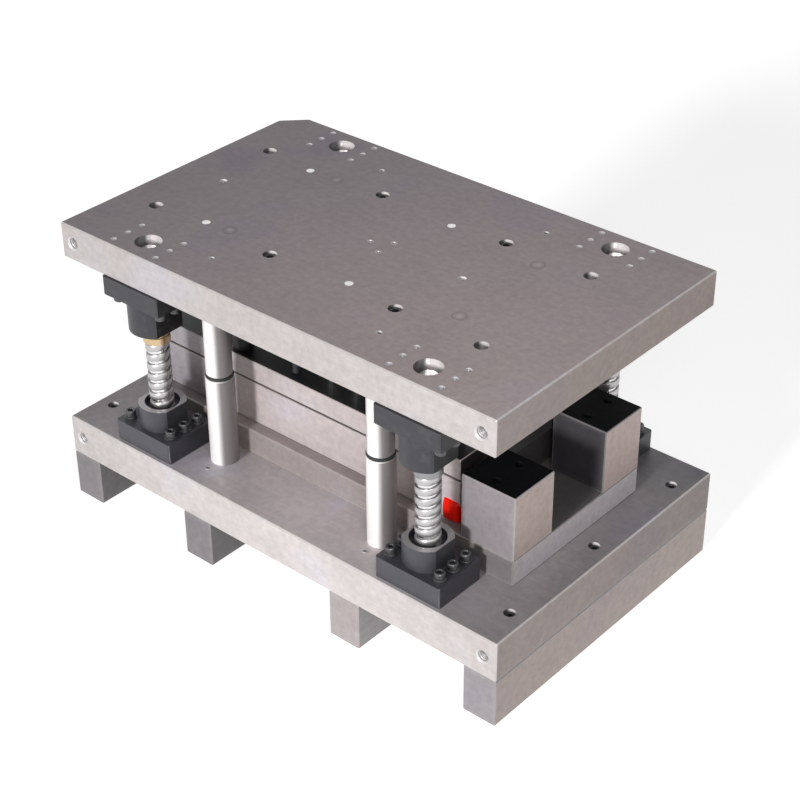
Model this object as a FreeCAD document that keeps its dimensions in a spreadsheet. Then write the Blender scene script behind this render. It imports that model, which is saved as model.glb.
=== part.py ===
import FreeCAD
import Part
import Sketcher
import math
import os
import re

# Press die set: two steel shoes on four guide posts with ball cages, a die block on the
# lower shoe, a punch holder and a sprung stripper plate under the upper shoe.
# Millimetres, +Z up. The origin is the centre of the footprint, on the surface that the
# parallels stand on. X runs along the long side, and -Y is the front.

SIZES = [
    ("upper_length", 650, "upper shoe along X"),
    ("upper_depth", 397, "upper shoe along Y"),
    ("upper_thick", 46, "upper shoe thickness"),
    ("corner_cut", 28, "cut on the rear left corner of the upper shoe, which shows how it goes on"),
    ("lower_length", 678, "lower shoe along X"),
    ("lower_depth", 412, "lower shoe along Y"),
    ("lower_thick", 53, "lower shoe thickness"),
    ("plate_edge", 1.6, "broken edges of the two shoes"),
    ("block_edge", 1.0, "broken edges of the smaller plates and blocks"),
    ("shoe_gap", 228, "daylight between the shoes on their stops"),
    ("parallel_width", 45, "width of a parallel"),
    ("parallel_height", 63, "height of a parallel"),
    ("inner_parallel_x", 119, "centre of an inner parallel"),
    ("lift_hole_dia", 14, "core of the tapped lifting holes"),
    ("lift_hole_depth", 36, "depth of the lifting holes"),
    ("lift_hole_mouth", 2, "countersink at the mouth of a lifting hole"),
    ("lift_hole_inset", 19, "front lifting hole centre from the end of its shoe"),
    ("lift_rear_inset", 47, "rear lifting hole centre from there, clear of the cut corner"),
    ("post_x", 210, "guide post from the centre, along X"),
    ("post_y", 165, "guide post from the centre, along Y"),
    ("post_dia", 25, "guide post diameter"),
    ("post_below_top", 10, "top of a guide post below the upper shoe's top face"),
    ("post_nose", 2, "chamfer on the nose of a guide post"),
    ("post_hole_dia", 32.5, "hole over the post in the upper shoe"),
    ("flange_length", 92, "flange of a post base or bushing housing, along X"),
    ("flange_depth", 72, "flange of a post base or bushing housing, along Y"),
    ("flange_corner", 3, "rounded upright corners of a flange"),
    ("base_flange_thick", 28, "flange of a post base"),
    ("base_boss_dia", 58.6, "boss of a post base"),
    ("base_boss_top", 57, "top of the boss above the lower shoe"),
    ("base_recess_dia", 43, "spring seat bored into the boss"),
    ("base_recess_depth", 8, "depth of the spring seat"),
    ("housing_flange_thick", 24, "flange of a bushing housing"),
    ("housing_dia", 63.5, "round body of a bushing housing"),
    ("housing_length", 66, "bushing housing below the upper shoe"),
    ("housing_chamfer", 3, "chamfer round the lower end of a housing"),
    ("boss_flat", 24.5, "flat beside the screws, from the post's axis"),
    ("bushing_dia", 42, "outside of the hardened bushing"),
    ("bushing_bore", 31, "ball track in the bushing"),
    ("flange_screw_x", 35, "flange screws from the post's axis, along X"),
    ("flange_screw_y", 22, "flange screws apart, along Y"),
    ("flange_screw_dia", 8, "flange screw thread"),
    ("flange_head_dia", 13, "flange screw head"),
    ("flange_head_high", 8, "height of a flange screw head"),
    ("flange_screw_grip", 20, "thread of a flange screw in its shoe"),
    ("collar_dia", 15, "collar under the head of a flange screw"),
    ("collar_thick", 3, "thickness of that collar"),
    ("cage_bottom", 143, "lower end of a ball cage above the lower shoe, die closed"),
    ("cage_length", 75, "length of a ball cage"),
    ("cage_clear", 0.4, "cage from the post and from the ball track"),
    ("cage_collar_dia", 33, "collar at the lower end of a cage"),
    ("cage_collar_high", 9, "height of that collar"),
    ("spring_wire_wide", 8.5, "flat spring wire, along the post"),
    ("spring_wire_thick", 2, "flat spring wire, away from the post"),
    ("spring_clear", 0.3, "spring from its post"),
    ("spring_pitch", 13.5, "one turn of a post spring to the next"),
    ("stop_x", 126, "stop post from the centre, along X"),
    ("stop_y", 146, "stop post from the centre, along Y"),
    ("lower_stop_dia", 35, "lower stop post"),
    ("upper_stop_dia", 32, "upper stop post"),
    ("stop_split", 122, "meeting plane of the stop posts above the lower shoe"),
    ("stop_ring_dia", 34, "rubber ring between the stop posts"),
    ("stop_ring_thick", 4, "thickness of that ring"),
    ("stop_spigot_dia", 26, "spigot inside the rubber ring"),
    ("stop_screw_dia", 6, "set screw down each upper stop post"),
    ("stop_screw_length", 60, "length of that set screw"),
    ("stop_screw_sunk", 2, "set screw below the top face"),
    ("base_depth", 236, "die base plate along Y"),
    ("base_thick", 34, "die base plate thickness"),
    ("die_length", 406, "die block, stripper and punch plates along X"),
    ("die_depth", 204, "die block and stripper along Y"),
    ("die_thick", 56, "die block thickness"),
    ("strip_gap", 3, "gap for the strip between die block and stripper"),
    ("stripper_thick", 27, "stripper plate thickness"),
    ("tongue_reach", 14, "stripper tongue beyond the die block, up to the heel blocks"),
    ("tongue_clear", 0.4, "tongue from the heel blocks"),
    ("heel_gap", 14.5, "heel block from the end of the die block"),
    ("heel_length", 74, "heel block along X"),
    ("heel_depth", 70, "heel block along Y"),
    ("heel_height", 84, "heel block height"),
    ("heel_screw_dia", 6, "heel block screw"),
    ("heel_head_dia", 10, "heel block screw head"),
    ("heel_head_high", 6, "height of that head"),
    ("heel_head_sunk", 14, "head's top below the block's top"),
    ("heel_screw_spread", 40, "the two screws of a heel block apart"),
    ("pad_length", 20, "red buffer pad along X"),
    ("pad_depth", 18, "red buffer pad along Y"),
    ("pad_height", 23, "red buffer pad height"),
    ("insert_length", 100, "die insert along X"),
    ("insert_depth", 104, "die insert along Y"),
    ("insert_edge", 0.2, "broken edges of a die insert"),
    ("station_x", 56, "die insert centre from the middle"),
    ("punch_length_x", 60, "punch along X"),
    ("punch_depth_y", 30, "punch along Y"),
    ("punch_corner", 6, "upright corners of a punch"),
    ("punch_clear", 0.1, "punch from its opening in die and stripper"),
    ("punch_entry", 3, "punch below the die face, die closed"),
    ("punch_head", 4, "head of a punch beyond its shank, each side"),
    ("punch_head_thick", 8, "thickness of a punch head"),
    ("slug_clear", 4, "slug way wider than the punch, each side"),
    ("backing_thick", 16, "punch backing plate"),
    ("holder_thick", 38, "punch holder"),
    ("holder_over", 8, "punch holder and backing plate beyond the die block, front and rear"),
    ("pilot_dia", 10, "pilot punch"),
    ("pilot_x", 20, "pilot punch from the centre, along X"),
    ("pilot_out", 14, "pilot punch outside the die insert, along Y"),
    ("pilot_clear", 0.08, "pilot from its holes"),
    ("guide_pin_dia", 16, "guide pin of the stripper"),
    ("guide_pin_end_in", 19, "guide pin from the end of the die block"),
    ("guide_pin_side_in", 40, "guide pin from the front or rear of the die block"),
    ("guide_pin_entry", 20, "guide pin below the die face, die closed"),
    ("running_clear", 0.05, "radial clearance of a running fit"),
    ("strip_bolt_x", 60, "stripper bolt from the centre, along X"),
    ("strip_bolt_in", 18, "stripper bolts and springs from the front or rear of the die block"),
    ("strip_bolt_dia", 10, "shoulder of a stripper bolt"),
    ("strip_bolt_thread", 8, "thread of a stripper bolt"),
    ("strip_bolt_grip", 15, "thread of a stripper bolt in the stripper"),
    ("strip_head_dia", 16, "head of a stripper bolt"),
    ("strip_head_high", 9, "height of that head"),
    ("strip_shelf", 14, "holder left under a stripper bolt head"),
    ("head_clear", 0.5, "counterbore wider than its screw head, each side"),
    ("urethane_dia", 26, "urethane spring of the stripper"),
    ("urethane_bore", 9, "bore of that spring"),
    ("urethane_pocket", 10, "pocket for it in the punch holder"),
    ("urethane_pocket_clear", 1.5, "pocket wider than the spring, each side"),
    ("urethane_in", 55, "urethane spring from the end of the die block"),
    ("die_screw_end_in", 35, "outer die block screws from its end"),
    ("die_screw_side_in", 14, "die block screws and dowels from its front or rear"),
    ("cap_dia", 10, "cap screws of the die block and the punch plates"),
    ("cap_head_dia", 16, "head of those screws"),
    ("cap_head_high", 10, "height of that head"),
    ("cap_grip", 20, "thread of those screws in the last piece"),
    ("cap_sunk", 3, "head's top below its face"),
    ("bore_dia", 17, "counterbores on the upper shoe's top face"),
    ("bore_hole_dia", 11, "clearance hole below a counterbore"),
    ("ram_hole_y", 97, "ram holes from the centre, along Y"),
    ("ram_hole_left_x", 270, "left pair of ram holes from the centre"),
    ("ram_hole_right_x", 225, "right pair of ram holes from the centre"),
    ("ram_bore_depth", 13, "counterbore depth of a ram hole"),
    ("plate_left_x", 82, "left pair of punch plate screws from the centre"),
    ("plate_right_x", 106, "right pair of punch plate screws from the centre"),
    ("plate_screw_in", 13, "punch plate screws from the front or rear of the punch plates"),
    ("dowel_dia", 10, "bright dowels of the punch plates"),
    ("dowel_side_in", 21, "those dowels from the front or rear of the punch plates"),
    ("dowel_end_in", 10, "left pair of bright dowels from the end of the punch plates"),
    ("dowel_right_x", 31.5, "right pair of bright dowels from the centre"),
    ("die_dowel_in", 68, "die block dowels from its end"),
    ("dowel_grip", 20, "dowel in the last piece"),
    ("locate_dia", 10, "reamed holes that locate the set on the ram"),
    ("locate_left_x", 255, "left locating hole from the centre"),
    ("locate_right_x", 120, "right locating hole from the centre"),
    ("shank_circle", 32, "circle of the three tapped holes at the centre"),
    ("shank_core_dia", 5, "core of those holes"),
    ("shank_depth", 24, "depth of those holes"),
    ("parallel_screw_y", 155, "outer screws of an end parallel from the middle"),
    ("inner_screw_y", 95, "screws of an inner parallel from the middle, under the die base plate"),
    ("parallel_screw_dia", 8, "screws of the parallels"),
    ("parallel_head_dia", 13, "head of those screws"),
    ("parallel_head_high", 8, "height of that head"),
    ("parallel_grip", 18, "thread of those screws in a parallel"),
    ("mark_screw_dia", 8, "small screw beside each stop post"),
    ("mark_screw_out", 29, "small screw in front of its stop post"),
    ("mark_screw_length", 14, "length of that small screw in the shoe"),
    ("mark_screw_proud", 1, "that small screw above the shoe"),
]

ALIASES = {alias for alias, value, note in SIZES}

doc = FreeCAD.newDocument("press_die_set")
sheet = doc.addObject("Spreadsheet::Sheet", "Sizes")
for row, (alias, value, note) in enumerate(SIZES, start=1):
    sheet.set(f"A{row}", note)
    sheet.set(f"B{row}", str(value))
    sheet.setAlias(f"B{row}", alias)
doc.recompute()

# Levels, from the floor up, as formulas in the sheet's names.
LOWER_BOTTOM = "parallel_height"
LOWER_TOP = "(parallel_height + lower_thick)"
UPPER_BOTTOM = f"({LOWER_TOP} + shoe_gap)"
UPPER_TOP = f"({UPPER_BOTTOM} + upper_thick)"
BASE_TOP = f"({LOWER_TOP} + base_thick)"
DIE_TOP = f"({BASE_TOP} + die_thick)"
STRIPPER_BOTTOM = f"({DIE_TOP} + strip_gap)"
STRIPPER_TOP = f"({STRIPPER_BOTTOM} + stripper_thick)"
HOLDER_TOP = f"({UPPER_BOTTOM} - backing_thick)"
HOLDER_BOTTOM = f"({HOLDER_TOP} - holder_thick)"
FLANGE_TOP = f"({LOWER_TOP} + base_flange_thick)"
SPRING_SEAT = f"({LOWER_TOP} + base_boss_top - base_recess_depth)"
SPLIT = f"({LOWER_TOP} + stop_split)"
HEEL_TOP = f"({BASE_TOP} + heel_height)"

# The base plate ends with the heel blocks on the right, the die block and stripper reach to its left end,
# and the punch plates stand out over the die block.
LEFT_REACH = "(heel_gap + heel_length)"
BASE_LENGTH = f"(die_length + 2 * {LEFT_REACH})"
HOLDER_DEPTH = "(die_depth + 2 * holder_over)"

# The four corners of the set: name, side along X, side along Y.
CORNERS = [
    ("front_left", -1, -1),
    ("front_right", 1, -1),
    ("rear_left", -1, 1),
    ("rear_right", 1, 1),
]

# Where geometry is first drawn, before its constraints move it.
ROUGH_RADIUS = 20
# The three tapped holes at the centre of the upper shoe, in degrees from +X.
SHANK_ANGLES = (60, 180, 300)

nodes = []


def ref(formula):
    """The formula with every size's name pointing at its cell in the sheet."""
    return re.sub(r"[a-z_][a-z_0-9]*", lambda m: f"Sizes.{m[0]}" if m[0] in ALIASES else m[0], formula)


def bind(thing, prop, formula):
    thing.setExpression(prop, ref(str(formula)))


def place(thing, at):
    for axis, formula in zip("xyz", at):
        bind(thing, f"Placement.Base.{axis}", formula)


def node(thing, name):
    """Count the object as a finished sub-part with this name."""
    thing.Label = name
    nodes.append(thing)
    return thing


def corners_of(x_formula, y_formula):
    """Formulas of the four mirrored places (+-x, +-y)."""
    return [(f"{sx} * ({x_formula})", f"{sy} * ({y_formula})") for name, sx, sy in CORNERS]


# Sketches and features of a body.


def new_body(name):
    return doc.addObject("PartDesign::Body", name)


def new_sketch(body, plane="XY_Plane", height="0"):
    """An empty sketch on one of the body's own planes, moved along its normal."""
    sketch = body.newObject("Sketcher::SketchObject", "Sketch")
    origin_plane = next(f for f in body.Origin.OriginFeatures if f.Role == plane)
    sketch.AttachmentSupport = [(origin_plane, "")]
    sketch.MapMode = "FlatFace"
    bind(sketch, "AttachmentOffset.Base.z", height)
    return sketch


def pin_point(sketch, geometry, point, x, y):
    """Hold a point of the sketch at the formulas x and y."""
    for kind, formula in (("DistanceX", x), ("DistanceY", y)):
        index = sketch.addConstraint(Sketcher.Constraint(kind, -1, 1, geometry, point, 1.0))
        bind(sketch, f"Constraints[{index}]", formula)


def draw_outline(sketch, points):
    """A closed outline of straight lines through the points, given as formulas."""
    count = len(points)
    start = sketch.GeometryCount
    turns = [math.tau * i / count for i in range(count)]
    ring = [FreeCAD.Vector(ROUGH_RADIUS * math.cos(a), ROUGH_RADIUS * math.sin(a), 0) for a in turns]
    for i in range(count):
        sketch.addGeometry(Part.LineSegment(ring[i], ring[(i + 1) % count]), False)
    for i in range(count):
        following = start + (i + 1) % count
        sketch.addConstraint(Sketcher.Constraint("Coincident", start + i, 2, following, 1))
    for i, (x, y) in enumerate(points):
        pin_point(sketch, start + i, 1, x, y)


def draw_rectangle(sketch, length, depth, x="0", y="0"):
    low_x, high_x = f"({x}) - ({length}) / 2", f"({x}) + ({length}) / 2"
    low_y, high_y = f"({y}) - ({depth}) / 2", f"({y}) + ({depth}) / 2"
    draw_outline(sketch, [(low_x, low_y), (high_x, low_y), (high_x, high_y), (low_x, high_y)])


def draw_circles(sketch, diameter, places):
    for i, (x, y) in enumerate(places):
        circle = Part.Circle(FreeCAD.Vector(ROUGH_RADIUS * i, 0, 0), FreeCAD.Vector(0, 0, 1), 1)
        geometry = sketch.addGeometry(circle, False)
        pin_point(sketch, geometry, 3, x, y)
        index = sketch.addConstraint(Sketcher.Constraint("Diameter", geometry, 2.0))
        bind(sketch, f"Constraints[{index}]", diameter)


def pad(body, sketch, length):
    feature = body.newObject("PartDesign::Pad", "Pad")
    feature.Profile = sketch
    bind(feature, "Length", length)
    sketch.Visibility = False
    return feature


def pocket(body, sketch, depth=None, reverse=False):
    """Cut the sketch into the solid, to a depth or, with none, right through."""
    feature = body.newObject("PartDesign::Pocket", "Pocket")
    feature.Profile = sketch
    feature.Reversed = reverse
    if depth is None:
        feature.Type = 1
    else:
        bind(feature, "Length", depth)
    return feature


def edges_that(feature, test):
    """Names of the feature's edges for which test(edge) holds."""
    doc.recompute()
    return [f"Edge{i}" for i, edge in enumerate(feature.Shape.Edges, start=1) if test(edge)]


def is_upright(edge):
    direction = edge.tangentAt(edge.FirstParameter)
    return edge.Curve.TypeId == "Part::GeomLine" and abs(direction.z) > 0.99


def dress(body, kind, feature, edges, size_name, formula):
    dressing = body.newObject(f"PartDesign::{kind}", kind)
    dressing.Base = (feature, edges)
    bind(dressing, size_name, formula)
    return dressing


def break_edges(body, feature, formula):
    return dress(body, "Chamfer", feature, edges_that(feature, lambda edge: True), "Size", formula)


def round_corners(body, feature, formula):
    return dress(body, "Fillet", feature, edges_that(feature, is_upright), "Radius", formula)


def cut_holes(body, top, diameter, places, depth=None):
    """Round holes down from the level top."""
    sketch = new_sketch(body, height=top)
    draw_circles(sketch, diameter, places)
    return pocket(body, sketch, depth)


def plate(name, length, depth, bottom, thick, edge, centre=("0", "0")):
    """A body that is a plain plate with broken edges; its cuts are added by the caller."""
    body = new_body(name)
    sketch = new_sketch(body, height=bottom)
    draw_rectangle(sketch, length, depth, *centre)
    break_edges(body, pad(body, sketch, thick), edge)
    return node(body, name)


def turned(name, profile, at):
    """A turned piece: its half section, as (radius, height) formulas, swept round its axis."""
    body = new_body(name)
    sketch = new_sketch(body, "XZ_Plane")
    draw_outline(sketch, profile)
    turn = body.newObject("PartDesign::Revolution", "Revolution")
    turn.Profile = sketch
    turn.ReferenceAxis = (sketch, ["V_Axis"])
    turn.Angle = 360
    place(body, at)
    return body


def bundle(name, pieces):
    """Like pieces that stay separate solids but share one node."""
    group = doc.addObject("Part::Compound", name)
    group.Links = pieces
    return node(group, name)


def screw(name, at, dia, shank_length, head_dia, head_high):
    """A cap screw whose head sits on the point at, with its shank running down from it."""
    half, head, shank_end = f"({dia}) / 2", f"({head_dia}) / 2", f"-({shank_length})"
    profile = [("0", shank_end), (half, shank_end), (half, "0"), (head, "0"), (head, head_high), ("0", head_high)]
    return turned(name, profile, at)


def flange_screw(name, at, flange_thick, turn):
    """A screw of a guide unit's flange with its collar; turn is 1 for a head that looks up, -1 for down."""
    shank, collar, head = "flange_screw_dia / 2", "collar_dia / 2", "flange_head_dia / 2"
    shank_end = f"{-turn} * ({flange_thick} + flange_screw_grip)"
    collar_end, head_end = f"{turn} * collar_thick", f"{turn} * (collar_thick + flange_head_high)"
    profile = [
        ("0", shank_end),
        (shank, shank_end),
        (shank, "0"),
        (collar, "0"),
        (collar, collar_end),
        (head, collar_end),
        (head, head_end),
        ("0", head_end),
    ]
    return turned(name, profile, at)


def pin(name, at, dia, length):
    """A round pin that stands on the point at."""
    piece = doc.addObject("Part::Cylinder", name)
    bind(piece, "Radius", f"({dia}) / 2")
    bind(piece, "Height", length)
    place(piece, at)
    return piece


# Where things stand, used by more than one piece.

END_PARALLEL_X = "(lower_length - parallel_width) / 2"
PARALLEL_X = [
    ("parallel_far_left", f"-({END_PARALLEL_X})"),
    ("parallel_mid_left", "-inner_parallel_x"),
    ("parallel_mid_right", "inner_parallel_x"),
    ("parallel_far_right", END_PARALLEL_X),
]
END_SCREWS = [
    (f"{side} * ({END_PARALLEL_X})", f"{row} * parallel_screw_y") for side in (-1, 1) for row in (-1, 0, 1)
]
INNER_SCREWS = corners_of("inner_parallel_x", "inner_screw_y")
POSTS = corners_of("post_x", "post_y")
STOPS = corners_of("stop_x", "stop_y")
MARKS = corners_of("stop_x", "stop_y + mark_screw_out")
FLANGE_SCREWS = [
    (f"{x} + {side} * flange_screw_x", f"{y} + {row} * flange_screw_y")
    for x, y in POSTS
    for side in (-1, 1)
    for row in (-1, 0, 1)
]
DIE_SIDE_Y = "(die_depth / 2 - die_screw_side_in)"
DIE_SCREWS = corners_of("die_length / 2 - die_screw_end_in", DIE_SIDE_Y)
DIE_SCREWS += [
    (x, f"{row} * {DIE_SIDE_Y}")
    for x in ("0", f"die_screw_end_in - die_length / 2 - {LEFT_REACH}")
    for row in (-1, 1)
]
DIE_DOWELS = [(f"{side} * (die_length / 2 - die_dowel_in)", f"{side} * {DIE_SIDE_Y}") for side in (-1, 1)]
GUIDE_PINS = corners_of("die_length / 2 - guide_pin_end_in", "die_depth / 2 - guide_pin_side_in")
PILOTS = corners_of("pilot_x", "insert_depth / 2 + pilot_out")
STRIP_BOLTS = corners_of("strip_bolt_x", "die_depth / 2 - strip_bolt_in")
URETHANES = corners_of("die_length / 2 - urethane_in", "die_depth / 2 - strip_bolt_in")
STATIONS = [("left", "-station_x"), ("right", "station_x")]
RAM_HOLES = [(x, f"{row} * ram_hole_y") for x in ("-ram_hole_left_x", "ram_hole_right_x") for row in (-1, 1)]
PLATE_SCREWS = [
    (x, f"{row} * ({HOLDER_DEPTH} / 2 - plate_screw_in)")
    for x in ("-plate_left_x", "plate_right_x")
    for row in (-1, 1)
]
PLATE_DOWELS = [
    (x, f"{row} * ({HOLDER_DEPTH} / 2 - dowel_side_in)")
    for x in ("dowel_end_in - die_length / 2", "dowel_right_x")
    for row in (-1, 1)
]
HEEL_X = "(die_length / 2 + heel_gap + heel_length / 2)"
HEELS = [(name, HEEL_X, f"{sy} * (base_depth - heel_depth) / 2") for name, sx, sy in CORNERS if sx > 0]
HEEL_SCREWS = [(x, f"{y} + {row} * heel_screw_spread / 2") for name, x, y in HEELS for row in (-1, 1)]


# The lower half.


def lift_holes(body, length, depth, middle):
    """Tapped lifting holes with countersunk mouths in the front and rear faces of a shoe."""
    for side, reverse, inset in ((1, False, "lift_hole_inset"), (-1, True, "lift_rear_inset")):
        places = [(f"{end} * (({length}) / 2 - {inset})", middle) for end in (-1, 1)]
        sketch = new_sketch(body, "XZ_Plane", f"{side} * ({depth}) / 2")
        draw_circles(sketch, "lift_hole_dia", places)
        hole = pocket(body, sketch, "lift_hole_depth", reverse)
        face_y = -side * sheet.get(depth) / 2
        mouth = edges_that(
            hole,
            lambda edge: edge.Curve.TypeId == "Part::GeomCircle"
            and abs(edge.Curve.Center.y - face_y) < 0.01
            and abs(edge.Curve.Axis.y) > 0.99,
        )
        dress(body, "Chamfer", hole, mouth, "Size", "lift_hole_mouth")


def slug_ways(body, top, clear="slug_clear"):
    """Openings below the die inserts, through which the slugs drop."""
    for side, x in STATIONS:
        sketch = new_sketch(body, height=top)
        draw_rectangle(sketch, f"punch_length_x + 2 * {clear}", f"punch_depth_y + 2 * {clear}", x)
        pocket(body, sketch)


def make_lower_shoe():
    shoe = plate("lower_shoe", "lower_length", "lower_depth", LOWER_BOTTOM, "lower_thick", "plate_edge")
    lift_holes(shoe, "lower_length", "lower_depth", f"{LOWER_BOTTOM} + lower_thick / 2")
    slug_ways(shoe, LOWER_TOP)
    cut_holes(shoe, LOWER_TOP, "flange_screw_dia", FLANGE_SCREWS, "flange_screw_grip")
    cut_holes(shoe, LOWER_TOP, "parallel_screw_dia", END_SCREWS + INNER_SCREWS)
    heads = "parallel_head_dia + 2 * head_clear"
    cut_holes(shoe, LOWER_TOP, heads, END_SCREWS + INNER_SCREWS, "parallel_head_high + cap_sunk")
    cut_holes(shoe, LOWER_TOP, "cap_dia", DIE_SCREWS, "cap_grip")
    cut_holes(shoe, LOWER_TOP, "dowel_dia", DIE_DOWELS, "dowel_grip")
    cut_holes(shoe, LOWER_TOP, "mark_screw_dia", MARKS, "mark_screw_length")


def make_parallels():
    for name, x in PARALLEL_X:
        bar = plate(name, "parallel_width", "lower_depth", "0", "parallel_height", "plate_edge", (x, "0"))
        if "far" in name:
            places = [(x, f"{row} * parallel_screw_y") for row in (-1, 0, 1)]
        else:
            places = [(x, f"{row} * inner_screw_y") for row in (-1, 1)]
        cut_holes(bar, "parallel_height", "parallel_screw_dia", places, "parallel_grip")
    shank_length = "lower_thick - parallel_head_high - cap_sunk + parallel_grip"
    seat = f"{LOWER_TOP} - parallel_head_high - cap_sunk"
    head = ("parallel_head_dia", "parallel_head_high")
    screws = [
        screw(f"parallel_screw_{i}", (x, y, seat), "parallel_screw_dia", shank_length, *head)
        for i, (x, y) in enumerate(END_SCREWS + INNER_SCREWS)
    ]
    low, length = f"{LOWER_TOP} - mark_screw_length", "mark_screw_length + mark_screw_proud"
    marks = [pin(f"mark_screw_{i}", (x, y, low), "mark_screw_dia", length) for i, (x, y) in enumerate(MARKS)]
    bundle("lower_shoe_screws", screws + marks)


def make_die_base():
    base = plate("die_base_plate", BASE_LENGTH, "base_depth", LOWER_TOP, "base_thick", "block_edge")
    slug_ways(base, BASE_TOP)
    cut_holes(base, BASE_TOP, "cap_dia", DIE_SCREWS)
    cut_holes(base, BASE_TOP, "dowel_dia", DIE_DOWELS)
    cut_holes(base, BASE_TOP, "heel_screw_dia", HEEL_SCREWS, "cap_grip")


def make_die_block():
    middle = (f"-{LEFT_REACH} / 2", "0")
    size = (f"die_length + {LEFT_REACH}", "die_depth", BASE_TOP, "die_thick", "block_edge")
    block = plate("die_block", *size, middle)
    for side, x in STATIONS:
        sketch = new_sketch(block, height=DIE_TOP)
        draw_rectangle(sketch, "insert_length", "insert_depth", x)
        pocket(block, sketch)
    notch = new_sketch(block, height=f"{BASE_TOP} + pad_height")
    draw_rectangle(
        notch, "pad_length", "pad_depth", "(die_length - pad_length) / 2", "-(die_depth - pad_depth) / 2"
    )
    pocket(block, notch)
    cut_holes(block, DIE_TOP, "cap_dia", DIE_SCREWS)
    cut_holes(block, DIE_TOP, "cap_head_dia + 2 * head_clear", DIE_SCREWS, "cap_head_high + cap_sunk")
    cut_holes(block, DIE_TOP, "dowel_dia", DIE_DOWELS)
    cut_holes(block, DIE_TOP, "guide_pin_dia + 2 * running_clear", GUIDE_PINS, "guide_pin_entry + cap_sunk")
    cut_holes(block, DIE_TOP, "pilot_dia + 2 * pilot_clear", PILOTS, "guide_pin_entry")
    insert_size = ("insert_length", "insert_depth", BASE_TOP, "die_thick", "insert_edge")
    for side, x in STATIONS:
        insert = plate(f"die_insert_{side}", *insert_size, (x, "0"))
        sketch = new_sketch(insert, height=DIE_TOP)
        draw_rectangle(sketch, "punch_length_x + 2 * punch_clear", "punch_depth_y + 2 * punch_clear", x)
        pocket(insert, sketch)
    shank_length = "die_thick - cap_head_high - cap_sunk + base_thick + cap_grip"
    seat = f"{DIE_TOP} - cap_head_high - cap_sunk"
    screws = [
        screw(f"die_screw_{i}", (x, y, seat), "cap_dia", shank_length, "cap_head_dia", "cap_head_high")
        for i, (x, y) in enumerate(DIE_SCREWS)
    ]
    bundle("die_screws", screws)
    low, length = f"{LOWER_TOP} - dowel_grip", "dowel_grip + base_thick + die_thick"
    dowels = [pin(f"die_dowel_{i}", (x, y, low), "dowel_dia", length) for i, (x, y) in enumerate(DIE_DOWELS)]
    bundle("die_dowels", dowels)
    pad_centre = ("(die_length - pad_length) / 2", "-(die_depth - pad_depth) / 2")
    plate("buffer_pad", "pad_length", "pad_depth", BASE_TOP, "pad_height", "block_edge", pad_centre)


def make_heel_blocks():
    for name, x, y in HEELS:
        size = ("heel_length", "heel_depth", BASE_TOP, "heel_height", "block_edge")
        block = plate(f"heel_block_{name}", *size, (x, y))
        places = [(x, f"{y} + {row} * heel_screw_spread / 2") for row in (-1, 1)]
        cut_holes(block, HEEL_TOP, "heel_screw_dia", places)
        heads = "heel_head_dia + 2 * head_clear"
        cut_holes(block, HEEL_TOP, heads, places, "heel_head_high + heel_head_sunk")
    shank_length = "heel_height - heel_head_high - heel_head_sunk + cap_grip"
    seat = f"{HEEL_TOP} - heel_head_high - heel_head_sunk"
    head = ("heel_head_dia", "heel_head_high")
    screws = [
        screw(f"heel_screw_{i}", (x, y, seat), "heel_screw_dia", shank_length, *head)
        for i, (x, y) in enumerate(HEEL_SCREWS)
    ]
    bundle("heel_block_screws", screws)


def flange_with_boss(name, low, thick, boss_low, boss_high, boss_dia, sides_from, sides_deep):
    """The common form of post base and bushing housing: a flange with a flat-sided round boss."""
    body = new_body(name)
    flange = new_sketch(body, height=low)
    draw_rectangle(flange, "flange_length", "flange_depth")
    round_corners(body, pad(body, flange, thick), "flange_corner")
    boss = new_sketch(body, height=boss_low)
    draw_circles(boss, boss_dia, [("0", "0")])
    pad(body, boss, boss_high)
    sides = new_sketch(body, height=sides_from)
    width = f"(({boss_dia}) / 2 - boss_flat)"
    for side in (-1, 1):
        draw_rectangle(sides, width, boss_dia, f"{side} * (boss_flat + {width} / 2)")
    pocket(body, sides, sides_deep)
    return body


def flange_holes(body, top, diameter):
    places = [
        (f"{side} * flange_screw_x", f"{row} * flange_screw_y") for side in (-1, 1) for row in (-1, 0, 1)
    ]
    cut_holes(body, top, diameter, places)


def make_post_bases():
    for (name, sx, sy), (x, y) in zip(CORNERS, POSTS):
        boss_above = "base_boss_top - base_flange_thick"
        base = flange_with_boss(
            f"post_base_{name}",
            "0",
            "base_flange_thick",
            "base_flange_thick",
            boss_above,
            "base_boss_dia",
            "base_boss_top",
            boss_above,
        )
        cut_holes(base, "base_boss_top", "post_dia", [("0", "0")])
        cut_holes(base, "base_boss_top", "base_recess_dia", [("0", "0")], "base_recess_depth")
        flange_holes(base, "base_flange_thick", "flange_screw_dia")
        place(base, (x, y, LOWER_TOP))
        node(base, f"post_base_{name}")
        make_guide_post(name, x, y)
    screws = [
        flange_screw(f"base_screw_{i}", (x, y, FLANGE_TOP), "base_flange_thick", 1)
        for i, (x, y) in enumerate(FLANGE_SCREWS)
    ]
    bundle("post_base_screws", screws)


def make_guide_post(name, x, y):
    """Hardened post from the lower shoe up through the bushing into the upper shoe's hole."""
    length = f"({UPPER_TOP} - post_below_top - {LOWER_TOP})"
    half = "post_dia / 2"
    profile = [
        ("0", "0"),
        (half, "0"),
        (half, f"{length} - post_nose"),
        (f"{half} - post_nose", length),
        ("0", length),
    ]
    node(turned(f"guide_post_{name}", profile, (x, y, LOWER_TOP)), f"guide_post_{name}")


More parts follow.
